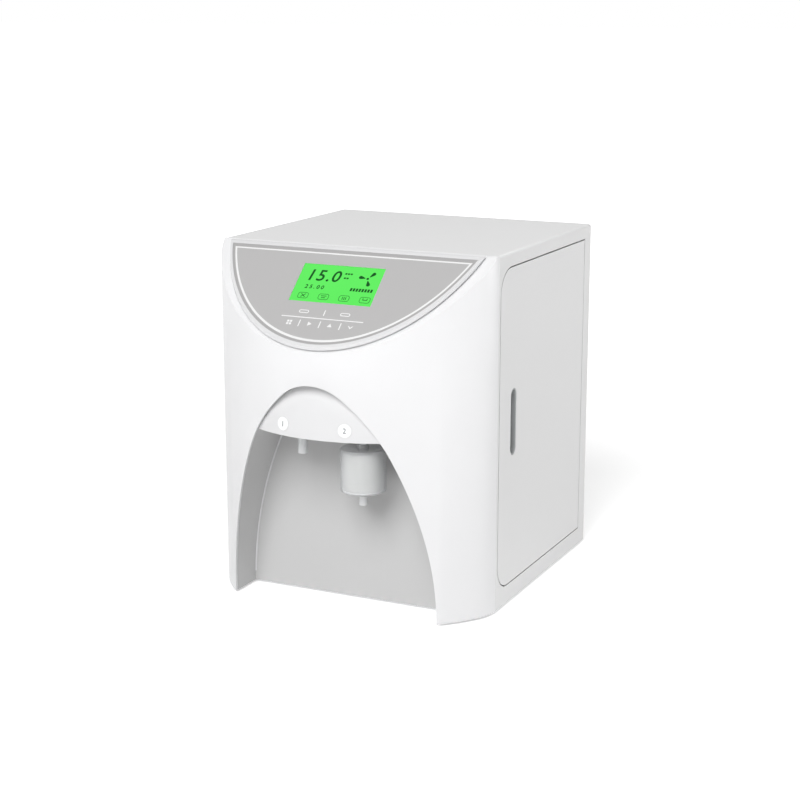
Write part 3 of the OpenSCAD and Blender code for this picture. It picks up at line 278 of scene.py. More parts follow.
def rolled_edge(p):
    on_plinth = p.z > plinth_z and math.hypot(p.x, p.y - plinth_y) < plinth_r
    return p.y < cover_seam_y and not on_plinth


soften("front_cover", 1.6, cover_abs, where=rolled_edge)


# ---------- Panel bezel ----------
# A separate thin white plate with a raised bead that frames the printed film. It is moulded in the
# same ABS with a little more gloss, and clips over the plinth of the front cover. Its tone is set
# greyer than the cover's, as painted shade on this upward-facing plate.

# greyer than the cover's same ABS: painted shade
bezel_abs_painted_shade = moulded("moulded_abs_bezel_white_painted_shade", "#d7d7d8", 0.24)
soften("panel_bezel", 0.8, bezel_abs_painted_shade)


# ---------- Printed film ----------
# A grey polyester film with a matt front, printed from behind and stuck in the bezel's recess. The
# border outside the white pinstripe is a darker grey. The white print stands a hair over the film.

film_centre_y = -42                 # middle of the film's plan arc
border_r = 163.4                    # plan radius outside which the border's grey starts
border_y = -115.6                   # the border's upper strip lies behind this line
film_grey, border_grey = "#aeadad", "#a2a1a1"
film_polyester, tree, place, shader, drift = surface("matt_polyester_film_grey", film_grey, 0.42,
                                                     mottle=0.008)
split = add(tree, "ShaderNodeSeparateXYZ", {}, {0: place})
back = add(tree, "ShaderNodeMath", {"operation": "SUBTRACT"},
           {0: split.outputs[1], 1: film_centre_y / 1000})
plan = add(tree, "ShaderNodeCombineXYZ", {}, {0: split.outputs[0], 1: back.outputs[0]})
span = add(tree, "ShaderNodeVectorMath", {"operation": "LENGTH"}, {0: plan.outputs[0]})
outside = add(tree, "ShaderNodeMath", {"operation": "GREATER_THAN"},
              {0: span.outputs["Value"], 1: border_r / 1000})
above = add(tree, "ShaderNodeMath", {"operation": "GREATER_THAN"},
            {0: split.outputs[1], 1: border_y / 1000})
border = add(tree, "ShaderNodeMath", {"operation": "MAXIMUM"},
             {0: outside.outputs[0], 1: above.outputs[0]})
tone = add(tree, "ShaderNodeMix", {"data_type": "RGBA"},
           {0: border.outputs[0], 6: drift.outputs[2], 7: linear(border_grey)})
tree.links.new(tone.outputs[2], shader.inputs["Base Color"])
grain = add(tree, "ShaderNodeTexNoise", {}, {"Vector": place, "Scale": 1000 / 0.5, "Detail": 1.0})
relief(tree, shader, grain.outputs["Fac"], 0.004)
dress("panel_film", film_polyester)

white_ink = moulded("screen_print_white", "#e4e4e4", 0.5, 0.4, 0.004)
dress("panel_marks", white_ink)


# ---------- Display ----------
# A character display behind the film: a black plastic frame, and a glass cell lit from behind in
# green. Dark segments show plain numbers, a three-bladed sign, four boxes and a bar of blocks.

def prism(outline, z0, z1):
    # a flat outline drawn up from z0 to z1, as points and faces in mm
    n = len(outline)
    points = [(x, y, z0) for x, y in outline] + [(x, y, z1) for x, y in outline]
    return points, [list(range(n))[::-1], list(range(n, 2 * n))] + [
        [i, (i + 1) % n, n + (i + 1) % n, n + i] for i in range(n)]


def moved(part, matrix):
    return [tuple(matrix @ Vector(p)) for p in part[0]], part[1]


def shift(x=0, y=0, z=0, turn=(0, 0, 0)):
    return Matrix.Translation((x, y, z)) @ Euler([math.radians(a) for a in turn]).to_matrix().to_4x4()


def round_rect(w, h, r, steps=5):
    corners = ((1, 1, 0), (-1, 1, 90), (-1, -1, 180), (1, -1, 270))
    return [(sx * (w / 2 - r) + r * math.cos(math.radians(a0 + 90 * i / steps)),
             sy * (h / 2 - r) + r * math.sin(math.radians(a0 + 90 * i / steps)))
            for sx, sy, a0 in corners for i in range(steps + 1)]


def disc(r, steps=24, x=0, y=0):
    return [(x + r * math.cos(2 * math.pi * i / steps), y + r * math.sin(2 * math.pi * i / steps))
            for i in range(steps)]


def mesh_of(name, parts, round_mm=0):
    # points and faces in mm merged into one mesh in metres, with the hard edges rounded by round_mm
    work = bmesh.new()
    for points, faces in parts:
        made = [work.verts.new([v / 1000 for v in p]) for p in points]
        for face in faces:
            work.faces.new([made[i] for i in face])
    bmesh.ops.remove_doubles(work, verts=work.verts, dist=1e-6)
    bmesh.ops.recalc_face_normals(work, faces=work.faces)
    if round_mm:
        round_off(work, sharp_edges(work, crease), round_mm, 2)
    return finished(work, name)


half_ink = 0.05                     # half of the print's thickness in mm


def figures(text, size, x, y, lean=0.0, weight=0.0, spacing=1.0):
    # plain numbers set in the built-in face, as points and faces in mm
    curve = bpy.data.curves.new("figures", "FONT")
    curve.body, curve.size, curve.shear, curve.space_character = text, size, lean, spacing
    curve.extrude, curve.offset, curve.resolution_u = half_ink, weight, 4
    holder = stand("figures", curve, (0, 0, 0))
    mesh = bpy.data.meshes.new_from_object(holder.evaluated_get(bpy.context.evaluated_depsgraph_get()))
    part = ([(v.co.x + x, v.co.y + y, v.co.z + half_ink) for v in mesh.vertices],
            [list(f.vertices) for f in mesh.polygons])
    bpy.data.objects.remove(holder)
    bpy.data.curves.remove(curve)
    bpy.data.meshes.remove(mesh)
    return part


panel = shift(0, -101, 403, (42, 0, 0))     # x across, y up the slope, z out of the shoulder
lcd_w = 99
lcd_left, lcd_top, lcd_face = -49.5, -31.3, 4.2
frame_plastic = moulded("moulded_frame_black", "#1c1d1f", 0.45)
dress("display_frame", frame_plastic)

lit_cell, tree, place, shader, drift = surface("backlit_display_cell_green", "#123c12", 0.18, mottle=0.01)
cloud = add(tree, "ShaderNodeTexNoise", {}, {"Vector": place, "Scale": 1000 / 70})
glow = add(tree, "ShaderNodeMix", {"data_type": "RGBA"},
           {0: cloud.outputs["Fac"], 6: linear("#50ef50"), 7: linear("#59f458")})
dots = add(tree, "ShaderNodeTexChecker", {}, {"Vector": place, "Scale": 1000 / 0.6, "Color1": (1, 1, 1, 1),
                                              "Color2": (0.96, 0.96, 0.96, 1)})
glow = add(tree, "ShaderNodeMix", {"data_type": "RGBA", "blend_type": "MULTIPLY"},
           {0: 1.0, 6: glow.outputs[2], 7: dots.outputs["Color"]})
tree.links.new(glow.outputs[2], shader.inputs["Emission Color"])
shader.inputs["Emission Strength"].default_value = 0.90
dress("display_glass", lit_cell)

segment_ink, tree, place, shader, drift = surface("display_segment_dark_green", "#0a4616", 0.5,
                                                  **{"Specular IOR Level": 0.1})
shader.inputs["Emission Color"].default_value = linear("#0e5c1e")
shader.inputs["Emission Strength"].default_value = 0.12
ink_t = 2 * half_ink
ink = [figures("15.0", 21.5, 8.2, -22.5, 0.12, 0.28, 1.14), figures("25.00", 7.2, 12, -33.8, 0.1, 0.14, 1.5)]
mark_spots = ((53.5, -11.5), (56.8, -11.5), (60.1, -11.5), (54, -17.5), (57.3, -17.5))
ink += [prism([(x, y), (x + 2.4, y), (x + 2.7, y + 2), (x + 0.3, y + 2)], 0, ink_t) for x, y in mark_spots]
box_first, box_pitch, box_y = 14.5, 25, -44
# x, y, turn and length of each stroke in the four boxes
box_strokes = ([(0, 0, 38, 7), (0, 0, -38, 7)],
               [(0, 1.2, 0, 7), (0, -1.2, 0, 5)],
               [(-2, 0, 90, 4), (0, 0, 90, 4), (2, 0, 90, 4)],
               [(0, 0, 0, 6), (-2.5, 1.4, 90, 2), (2.5, 1.4, 90, 2)])
rim_out, rim_in = round_rect(12.6, 8, 2.6), round_rect(11.6, 7, 2.2)
n = len(rim_out)
for i, strokes in enumerate(box_strokes):
    box_x = box_first + i * box_pitch
    ink.append(([(box_x + x, box_y + y, z) for z in (0, ink_t) for x, y in rim_out + rim_in],
                [[k, (k + 1) % n, n + (k + 1) % n, n + k] for k in range(n)]
                + [[2 * n + k, 3 * n + k, 3 * n + (k + 1) % n, 2 * n + (k + 1) % n] for k in range(n)]
                + [[k, 2 * n + k, 2 * n + (k + 1) % n, (k + 1) % n] for k in range(n)]
                + [[n + k, n + (k + 1) % n, 3 * n + (k + 1) % n, 3 * n + k] for k in range(n)]))
    for x, y, turn, long in strokes:
        ink.append(moved(prism(round_rect(long, 0.8, 0.3, 2), 0, ink_t),
                         shift(box_x + x, box_y + y, 0, (0, 0, turn))))
sign_x, sign_y = lcd_w - 16.5, -15
blade = [(3, -0.4), (6.5, -1.6)] + [(8.8 + 2.2 * math.cos(a / 10), 2.2 * math.sin(a / 10))
                                    for a in range(-16, 17, 4)] + [(6.5, 1.6), (3, 0.4)]
ink += [moved(prism(blade, 0, ink_t), shift(sign_x, sign_y, 0, (0, 0, turn))) for turn in (52, 172, 292)]
ink.append(prism(disc(1.5, 16, sign_x, sign_y), 0, ink_t))
blocks_left, blocks_low, block_pitch = lcd_w - 32, -33.4, 3.5
blocks_high = blocks_low + 4.2
ink += [prism([(x, blocks_low), (x + 2.4, blocks_low), (x + 2.8, blocks_high), (x + 0.4, blocks_high)],
              0, ink_t) for x in [blocks_left + block_pitch * i for i in range(8)]]
face = panel @ shift(lcd_left, lcd_top, lcd_face)
fit("display_digits_printed", mesh_of("display_digits_printed", [moved(part, face) for part in ink]),
    "display_digits", segment_ink, ["display_digits"])


# ---------- Membrane keys ----------
# Six moulded plungers stand on the tact switches of a green board, just under the film. The board
# carries a white socket for its ribbon.

board_laminate, tree, place, shader, drift = surface("solder_mask_green", "#1f6f41", 0.3, mottle=0.05,
                                                     mottle_mm=30)
lanes = add(tree, "ShaderNodeTexVoronoi", {"feature": "DISTANCE_TO_EDGE", "distance": "MANHATTAN"},
            {"Vector": place, "Scale": 1000 / 7})
track = add(tree, "ShaderNodeMath", {"operation": "LESS_THAN"}, {0: lanes.outputs["Distance"], 1: 0.05})
copper = add(tree, "ShaderNodeMix", {"data_type": "RGBA"},
             {0: track.outputs[0], 6: drift.outputs[2], 7: linear("#2f8a55")})
tree.links.new(copper.outputs[2], shader.inputs["Base Color"])
relief(tree, shader, track.outputs[0], 0.03)
key_plastic = moulded("moulded_key_grey", "#d8d8d8", 0.4)
dress("key_board", board_laminate)
for i in range(1, 7):
    dress(f"key_{i}", key_plastic)
nylon_white = moulded("moulded_nylon_natural", "#e4e1d6", 0.45)
socket_w, socket_h, socket_y = 22, 5, -97       # socket_y is down the panel's slope
socket_back, socket_front = -10.5, -4.6         # depth under the panel's face
socket = [moved(prism(round_rect(socket_w, socket_h, 0.5, 2), socket_back, socket_front),
                panel @ shift(0, socket_y, 0))]
fit("key_board_socket", mesh_of("key_board_socket", socket, 0.3), "key_board", nylon_white)


# ---------- Dispensing bay ----------
# The liner is a light grey formed ABS shell, glued inside the cover behind the arch. A thin round
# bead runs along the corner between its side walls and its back, where the halves are joined. Its
# white, lighter than the liner, is a painted highlight along that corner.

def bar(path, r, steps):
    # a round section swept along a path, as points and faces in mm
    path = [Vector(p) for p in path]
    points, faces, side = [], [], None
    for i, p in enumerate(path):
        ahead = (path[min(i + 1, len(path) - 1)] - path[max(i - 1, 0)]).normalized()
        if side is None:
            side = ahead.orthogonal().normalized()
        side = (side - ahead * side.dot(ahead)).normalized()
        up = ahead.cross(side)
        points += [tuple(p + r * (math.cos(a) * side + math.sin(a) * up))
                   for a in [2 * math.pi * k / steps for k in range(steps)]]
    for i in range(0, (len(path) - 1) * steps, steps):
        faces += [[i + k, i + (k + 1) % steps, i + steps + (k + 1) % steps, i + steps + k]
                  for k in range(steps)]
    return points, faces + [list(range(steps)), list(range(len(points) - steps, len(points)))]


bay_back_y = -116.8
bay_axis_z = 60                     # the corner's points are put in order round this height
hole_x, hole_z, hole_r = 37.5, 238.5, 6     # the two tube holes, whose points aren't the corner's
bead_r, bead_foot = 0.9, 4
liner_abs = moulded("formed_liner_grey", "#c1c1c1", 0.5)
soften("bay_liner", 0.4, liner_abs)
rim = sorted({(round(v.co.x * 1000, 2), round(v.co.z * 1000, 2)) for v in nodes["bay_liner"].data.vertices
              if abs(v.co.y * 1000 - bay_back_y) < 0.1}, key=lambda p: -math.atan2(p[0], p[1] - bay_axis_z))
rim = [(x, z) for x, z in rim if math.hypot(abs(x) - hole_x, z - hole_z) > hole_r and z > bead_foot]
# drawn in by a hair, so that the bead lies on the walls and not in them
rim_path = [(x * 0.994, bay_back_y - 0.5, z - (0.6 if z > 100 else 0)) for x, z in rim]
# whiter than the liner: a painted highlight along the corner
bead_abs_painted_highlight = moulded("moulded_abs_bead_white_painted_highlight", "#dcdcde", 0.35)
fit("bay_corner_bead", mesh_of("bay_corner_bead", [bar(rim_path, bead_r, 8)]), "bay_liner", bead_abs_painted_highlight)


# ---------- Outlet hood ----------
# A domed cap moulded in white ABS fills the top of the arch and carries both outlets. Its ABS is set
# greyer than the cover's, as painted shade. Two round vinyl labels, printed with plain numbers, sit
# in shallow seats.

hood_rim_z = 222                    # above this the dome rolls back towards the arch
# greyer than the cover's same white ABS: painted shade
hood_abs_painted_shade = moulded("moulded_abs_hood_white_painted_shade", "#d9d9da", 0.32)
soften("outlet_hood", 4.0, hood_abs_painted_shade, 4, where=lambda p: p.z > hood_rim_z, rest_mm=0.9)
label_vinyl = moulded("label_vinyl_white", "#f0f0f1", 0.45)
soften("label_discs", 0.25, label_vinyl)
print_grey = moulded("pad_print_grey", "#55585c", 0.5, 0.4, 0.003)
label_x, label_y, label_z = 37.56, -204.05, 221.5
label_lean, label_turn = 85.4, 12.8     # degrees, as the discs lie on the dome
numbers = [moved(figures(text, 8, -2.2, -2.8),
                 shift(side * label_x, label_y, label_z, (label_lean, 0, side * label_turn)))
           for text, side in (("1", -1), ("2", 1))]
fit("label_numbers", mesh_of("label_numbers", numbers), "label_discs", print_grey)


# ---------- Plain nozzle and filter adapter ----------
# Spouts turned from polypropylene rod, pushed up through the hood's floor and held by a nut above.

spout_plastic = moulded("turned_polypropylene_grey", "#e2e4e5", 0.32)
soften("ro_nozzle", 0.6, spout_plastic)
soften("filter_adapter", 0.3, spout_plastic)


# ---------- Final filter ----------
# A capsule of two polypropylene halves welded near its foot. The thin bowl is milky enough to show
# the pleated membrane inside, and the thick stub is whiter. Its neck pushes over the adapter.

def lathe(profile, steps=64, closed=True):
    # (r, z) points turned about z, as points and faces in mm
    n = len(profile)
    points = [(r * math.cos(2 * math.pi * k / steps), r * math.sin(2 * math.pi * k / steps), z)
              for k in range(steps) for r, z in profile]
    turns = [(k * n, (k + 1) % steps * n) for k in range(steps)]
    return points, [[here + i, there + i, there + (i + 1) % n, here + (i + 1) % n]
                    for here, there in turns for i in range(n if closed else n - 1)]


def arc(r, z, radius, a0, a1, steps=6):
    return [(r + radius * math.cos(math.radians(a0 + (a1 - a0) * i / steps)),
             z + radius * math.sin(math.radians(a0 + (a1 - a0) * i / steps))) for i in range(steps + 1)]


def build_copier():
    # a node group that sets one unit on every point, turned by the point's own angles
    group = bpy.data.node_groups.new("copies_on_points", "GeometryNodeTree")
    sockets = {}
    for name, kind in (("points", "NodeSocketGeometry"), ("unit", "NodeSocketObject"),
                       ("size", "NodeSocketFloat"), ("finish", "NodeSocketMaterial")):
        sockets[name] = group.interface.new_socket(name=name, in_out="INPUT", socket_type=kind).identifier
    group.interface.new_socket(name="copies", in_out="OUTPUT", socket_type="NodeSocketGeometry")
    start = group.nodes.new("NodeGroupInput")
    angles = add(group, "GeometryNodeInputNamedAttribute", {"data_type": "FLOAT_VECTOR"}, {"Name": "turn"})
    turn = add(group, "FunctionNodeEulerToRotation", {}, {"Euler": angles.outputs[0]})
    unit = add(group, "GeometryNodeObjectInfo", {}, {"Object": start.outputs["unit"]})
    copies = add(group, "GeometryNodeInstanceOnPoints", {},
                 {"Points": start.outputs["points"], "Instance": unit.outputs["Geometry"],
                  "Rotation": turn.outputs[0], "Scale": start.outputs["size"]})
    real = add(group, "GeometryNodeRealizeInstances", {}, {"Geometry": copies.outputs[0]})
    coat = add(group, "GeometryNodeSetMaterial", {},
               {"Geometry": real.outputs[0], "Material": start.outputs["finish"]})
    end = group.nodes.new("NodeGroupOutput")
    group.links.new(coat.outputs[0], end.inputs[0])
    return group, sockets


copier, copier_sockets = build_copier()


def copies(name, unit, spots, node, material, size=1.0):
    # the unit mesh set at every (x, y, z, turn x, turn y, turn z), in mm and degrees
    points = bpy.data.meshes.new(name + "_points")
    points.from_pydata([[v / 1000 for v in s[:3]] for s in spots], [], [])
    turns = points.attributes.new("turn", "FLOAT_VECTOR", "POINT")
    turns.data.foreach_set("vector", [math.radians(v) for s in spots for v in s[3:]])
    holder, one = stand(name + "_points", points, (0, 0, 0)), stand(name + "_unit", unit, (0, 0, 0))
    work = holder.modifiers.new("copies", "NODES")
    work.node_group = copier
    work[copier_sockets["unit"]] = one
    work[copier_sockets["size"]] = size
    work[copier_sockets["finish"]] = material
    mesh = bpy.data.meshes.new_from_object(holder.evaluated_get(bpy.context.evaluated_depsgraph_get()))
    mesh.name = name
    for thing in (holder, one):
        bpy.data.objects.remove(thing)
    fit(name, mesh, node, material)


filter_at = (37.5, -160.3, 144.0)           # the middle of the bowl's underside
filter_r, filter_len, wall = 25.8, 49, 1.5
edge_r, hollow_r = 3.2, 4.6                 # the outer rounding, and the hollow's with the wall added
stub_r, stub_len, bore_r = 4.7, 16, 3.0     # the stub below, where the water leaves
neck_r, neck_top, seat_r = 5.6, 62.5, 4.4   # the neck above, which holds the adapter
outer = [(bore_r, -stub_len), (stub_r, -stub_len), (stub_r, -14.2), (4.4, -13), (4.4, -1.6), (5.4, 0)]
outer += arc(filter_r - edge_r, edge_r, edge_r, -90, 0)
outer += [(filter_r, 4.6), (25.5, 4.8), (25.5, 5.2), (filter_r, 5.4)]       # the weld's groove
outer += arc(filter_r - edge_r, filter_len - edge_r, edge_r, 0, 90)
outer += [(7.2, filter_len), (6.9, 51.6), (6.4, 52.2), (neck_r, 52.6), (neck_r, 62.2), (5.3, neck_top),
          (seat_r, neck_top)]
inner = [(seat_r, 47.2)] + arc(filter_r - hollow_r, filter_len - hollow_r, hollow_r - wall, 90, 0, 4)
inner += arc(filter_r - hollow_r, hollow_r, hollow_r - wall, 0, -90, 4) + [(bore_r, wall)]
shell_plastic, tree, place, shader, drift = surface("milky_polypropylene_filter", "#f6f7f8", 0.16, IOR=1.38)
grain = add(tree, "ShaderNodeTexNoise", {}, {"Vector": place, "Scale": 1000 / 3, "Detail": 2.0})
relief(tree, shader, grain.outputs["Fac"], 0.004, 0.16)
split = add(tree, "ShaderNodeSeparateXYZ", {}, {0: place})
# from the white stub up to the milky bowl, in metres of height
clear = add(tree, "ShaderNodeMapRange", {}, {"Value": split.outputs[2], "From Min": 0.1425,
                                             "From Max": 0.1445, "To Min": 0.15, "To Max": 0.72})
tree.links.new(clear.outputs[0], shader.inputs["Transmission Weight"])
shell = moved(lathe(outer + inner, 96), shift(*filter_at))
fit("filter_shell_turned", mesh_of("filter_shell_turned", [shell]), "filter_shell", shell_plastic,
    ["filter_shell"])

membrane = moulded("pleated_membrane_white", "#f2f2ee", 0.8, 0.3, 0.02)
core_len = filter_len - 10
core_in, core_r, lid_r, lid_t = 6.5, 16.6, 17.6, 2      # the core's hole, its tube and its two end lids
core = [lathe([(core_in, 0), (lid_r, 0), (lid_r, lid_t), (core_r, lid_t), (core_r, core_len - lid_t),
               (lid_r, core_len - lid_t), (lid_r, core_len), (core_in, core_len)], 48)]
pleats, root_r, tip_r = 48, 16.5, 19.7
root_half, tip_half = math.pi / pleats * 0.8, 0.01      # half a pleat's angle, in radians
for k in range(pleats):
    a = 2 * math.pi * k / pleats
    pleat = [(r * math.cos(a + b), r * math.sin(a + b))
             for r, b in ((root_r, -root_half), (tip_r, -tip_half), (tip_r, tip_half), (root_r, root_half))]
    core.append(prism(pleat, lid_t + 0.2, core_len - lid_t - 0.2))
core_at = shift(*filter_at) @ shift(z=wall + 0.5)
fit("filter_core_pleated", mesh_of("filter_core_pleated", [moved(part, core_at) for part in core]),
    "filter_core", membrane, ["filter_core"])


# ---------- Housing ----------
# One steel sheet folded over the top and both sides, with a fine light grey powder coat that keeps
# a trace of orange peel. Vents are punched in the left side.

def powder(name, colour, rough=0.42):
    made, tree, place, shader, drift = surface(name, colour, rough, mottle=0.012, mottle_mm=120)
    peel = add(tree, "ShaderNodeTexNoise", {}, {"Vector": place, "Scale": 1000 / 0.9, "Detail": 2.0})
    relief(tree, shader, peel.outputs["Fac"], 0.014, rough)
    return made


housing_coat = powder("powder_coat_light_grey", "#dddddd")
soften("housing_shell", 0.4, housing_coat)


# ---------- Service door ----------
# A folded sheet door with the same coat, round at its front corners, hung on two pins at the rear.
# The finger pull is a grey moulded cup snapped in from behind. Two magnets hold the door shut.

soften("service_door", 0.7, housing_coat)
pull_plastic = moulded("moulded_pull_grey", "#a5a7a8", 0.45)
soften("door_pull", 0.3, pull_plastic)

zinc_sheet, tree, place, shader, drift = surface("zinc_coated_steel_sheet", "#c2c5c8", 0.38, 1.0, 0.05, 90)
spangle = add(tree, "ShaderNodeTexVoronoi", {}, {"Vector": place, "Scale": 1000 / 7, "Randomness": 1.0})
flake = add(tree, "ShaderNodeSeparateXYZ", {}, {0: spangle.outputs["Color"]})
relief(tree, shader, flake.outputs[0], 0.004, 0.38, 0.1)
soften("door_frame", 0.3, zinc_sheet)

turned_steel, tree, place, shader, drift = surface("turned_stainless_steel", "#c9ccd0", 0.28, 1.0, 0.03, 20)
stretch = add(tree, "ShaderNodeMapping", {}, {"Vector": place, "Scale": (1, 1, 14)})
lines = add(tree, "ShaderNodeTexNoise", {},
            {"Vector": stretch.outputs[0], "Scale": 1000 / 2.0, "Detail": 1.0})
relief(tree, shader, lines.outputs["Fac"], 0.004, 0.28, 0.08)
soften("hinge_pins", 0.3, turned_steel)

magnet_nickel, tree, place, shader, drift = surface("nickel_plated_magnet", "#8b8d91", 0.22, 1.0, 0.03, 10)
fine = add(tree, "ShaderNodeTexNoise", {}, {"Vector": place, "Scale": 1000 / 0.6})
relief(tree, shader, fine.outputs["Fac"], 0.003, 0.22)
soften("door_magnets", 0.3, magnet_nickel)


# ---------- Chassis ----------
# A zinc coated base tray on four rubber feet, an upright bulkhead beside the cartridges and the
# rail they hang from, all folded from sheet and screwed together from below.

soften("base_tray", 0.4, zinc_sheet)
soften("bulkhead", 0.3, zinc_sheet)
soften("cartridge_rail", 0.3, zinc_sheet)
rubber, tree, place, shader, drift = surface("moulded_rubber_black", "#26282a", 0.75, mottle=0.08,
                                             mottle_mm=6)
fine = add(tree, "ShaderNodeTexNoise", {}, {"Vector": place, "Scale": 1000 / 0.5, "Detail": 2.0})
relief(tree, shader, fine.outputs["Fac"], 0.03)
soften("feet", 0.8, rubber)


# ---------- Cartridges and heads ----------
# Three quarter-turn cartridges of white polypropylene with moulded grips and a blank coloured wrap.
# Each hangs by its neck in a ribbed head, held in the rail, with a tube port towards the bulkhead.

head_plastic = moulded("moulded_head_white", "#e2e3e4", 0.36)
soften("cartridge_heads", 0.8, head_plastic)
cartridge_plastic = moulded("blown_cartridge_white", "#e6e8e9", 0.30, 3.0, 0.03)
wraps = ("#4f86b8", "#6ba37a", "#9a9fa6")
wrap_low, pale_low, pale_high, wrap_high = 130, 156, 228, 254       # the pale band lies in the wrap's middle
cart_x, cart_r, cart_ys = 109.75, 36, (-40.25, 39.75, 119.75)
wrap_in, wrap_out = cart_r + 0.02, cart_r + 0.16
rib_in, rib_out, rib_half, rib_low, rib_high = 31.0, 32.6, 1.2, 312, 330
rib = mesh_of("rib", [prism([(rib_in, -rib_half), (rib_out, -rib_half), (rib_out, rib_half),
                             (rib_in, rib_half)], rib_low, rib_high)], 0.3)
rib_turns = [a for a in range(0, 360, 20) if a != 180]      # the port's block stands at 180
for i, (cart_y, tint) in enumerate(zip(cart_ys, wraps), 1):
    soften(f"cartridge_{i}", 0.5, cartridge_plastic)
    wrap_film, tree, place, shader, drift = surface(f"wrap_film_{i}", tint, 0.3, mottle=0.03)
    split = add(tree, "ShaderNodeSeparateXYZ", {}, {0: place})
    high = add(tree, "ShaderNodeMath", {"operation": "GREATER_THAN"},
               {0: split.outputs[2], 1: pale_high / 1000})
    low = add(tree, "ShaderNodeMath", {"operation": "LESS_THAN"},
              {0: split.outputs[2], 1: pale_low / 1000})
    ends = add(tree, "ShaderNodeMath", {"operation": "MAXIMUM"}, {0: high.outputs[0], 1: low.outputs[0]})
    band = add(tree, "ShaderNodeMix", {"data_type": "RGBA"},
               {0: ends.outputs[0], 6: linear("#eef0f1"), 7: drift.outputs[2]})
    tree.links.new(band.outputs[2], shader.inputs["Base Color"])
    wrap = lathe([(wrap_in, wrap_low), (wrap_out, wrap_low), (wrap_out, wrap_high), (wrap_in, wrap_high)], 96)
    fit(f"cartridge_{i}_wrap", mesh_of(f"cartridge_{i}_wrap", [moved(wrap, shift(cart_x, cart_y, 0))]),
        f"cartridge_{i}", wrap_film)
    copies(f"head_{i}_ribs", rib, [(cart_x, cart_y, 0, 0, 0, a) for a in rib_turns], "cartridge_heads",
           head_plastic)


# ---------- Membrane vessel and polishing column ----------
# Drawn polypropylene tubes with screwed end caps. Grip ribs run round the caps, a steel band holds
# each vessel, and both stand in moulded saddles on the tray.

vessel_plastic = moulded("moulded_vessel_white", "#e3e6e8", 0.32)
column_plastic = moulded("moulded_column_pale_blue", "#d5e0e8", 0.32)
saddle_plastic = moulded("moulded_saddle_grey", "#8d9296", 0.5, 1.5, 0.03)
soften("vessel_saddles", 1.0, saddle_plastic)
vessel_x, vessel_y, column_y = -112.5, -39, 68
cap_zs, cap_grip_len = (69, 311), 10
band_low, band_high, tube_in = 196, 208, 2      # tube_in is how far the tube lies inside its caps
for node, material, y, r in (("membrane_vessel", vessel_plastic, vessel_y, 40),
                             ("polishing_column", column_plastic, column_y, 45)):
    soften(node, 0.8, material)
    ridge = [(r - 0.2, -1.3), (r + 1.0, -0.8), (r + 1.0, 0.8), (r - 0.2, 1.3)]
    grip = mesh_of("grip", [prism(ridge, 0, cap_grip_len)], 0.3)
    copies(node + "_cap_grips", grip,
           [(vessel_x, y, z, 0, 0, a) for z in cap_zs for a in range(0, 360, 12)], node, material)
    tube_r, band_r = r - tube_in, r - tube_in + 0.7
    band = lathe([(tube_r, band_low), (band_r, band_low), (band_r, band_high), (tube_r, band_high)], 96)
    screw = moved(lathe([(0, 0), (2.6, 0), (2.6, 1.2), (2.2, 1.8), (0, 1.8)], 24, False),
                  shift(vessel_x + band_r - 0.1, y, (band_low + band_high) / 2, (0, 90, 0)))
    fit(node + "_band", mesh_of(node + "_band", [moved(band, shift(vessel_x, y, 0)), screw]), node,
        turned_steel)


# ---------- Pump ----------
# A brushed motor in a black painted steel case with cooling ribs, and a diaphragm head of moulded
# nylon held by four screws. The motor lies in a cradle foot on the tray.

motor_paint, tree, place, shader, drift = surface("baked_enamel_black", "#232629", 0.35, mottle=0.06,
                                                  mottle_mm=8)
wrinkle = add(tree, "ShaderNodeTexNoise", {}, {"Vector": place, "Scale": 1000 / 1.4, "Detail": 4.0})
relief(tree, shader, wrinkle.outputs["Fac"], 0.06, 0.35)
soften("pump_motor", 0.8, motor_paint)
pump_x, pump_z, motor_r = -5, 63, 36
rib_root, rib_top, rib_len, rib_end_y = motor_r - 0.4, motor_r + 1.6, 62, 120
rib = mesh_of("rib", [prism([(-0.7, rib_root), (0.7, rib_root), (0.5, rib_top), (-0.5, rib_top)],
                            0, rib_len)], 0.2)
copies("motor_ribs", rib, [(pump_x, rib_end_y, pump_z, 90, a, 0) for a in range(-105, 106, 10)],
       "pump_motor", motor_paint)
pump_nylon = moulded("glass_filled_nylon_dark", "#3b3f43", 0.5, 0.7, 0.03)
soften("pump_head", 1.0, pump_nylon)
bolt_out, bolt_y = 33, 36
bolt = mesh_of("bolt", [lathe([(0, 0), (3.2, 0), (3.2, 1.6), (2.6, 2.4), (1.6, 2.4), (1.6, 1.0), (0, 1.0)],
                              24, False)])
copies("pump_bolts", bolt, [(pump_x + sx * bolt_out, bolt_y, pump_z + sz * bolt_out, 90, 0, 0)
                            for sx in (-1, 1) for sz in (-1, 1)], "pump_head", turned_steel)


# ---------- Power supply ----------
# An enclosed switching supply in brushed aluminium sheet, fixed beside the rear panel, with a
# screw terminal strip along its foot and slots punched in its face.

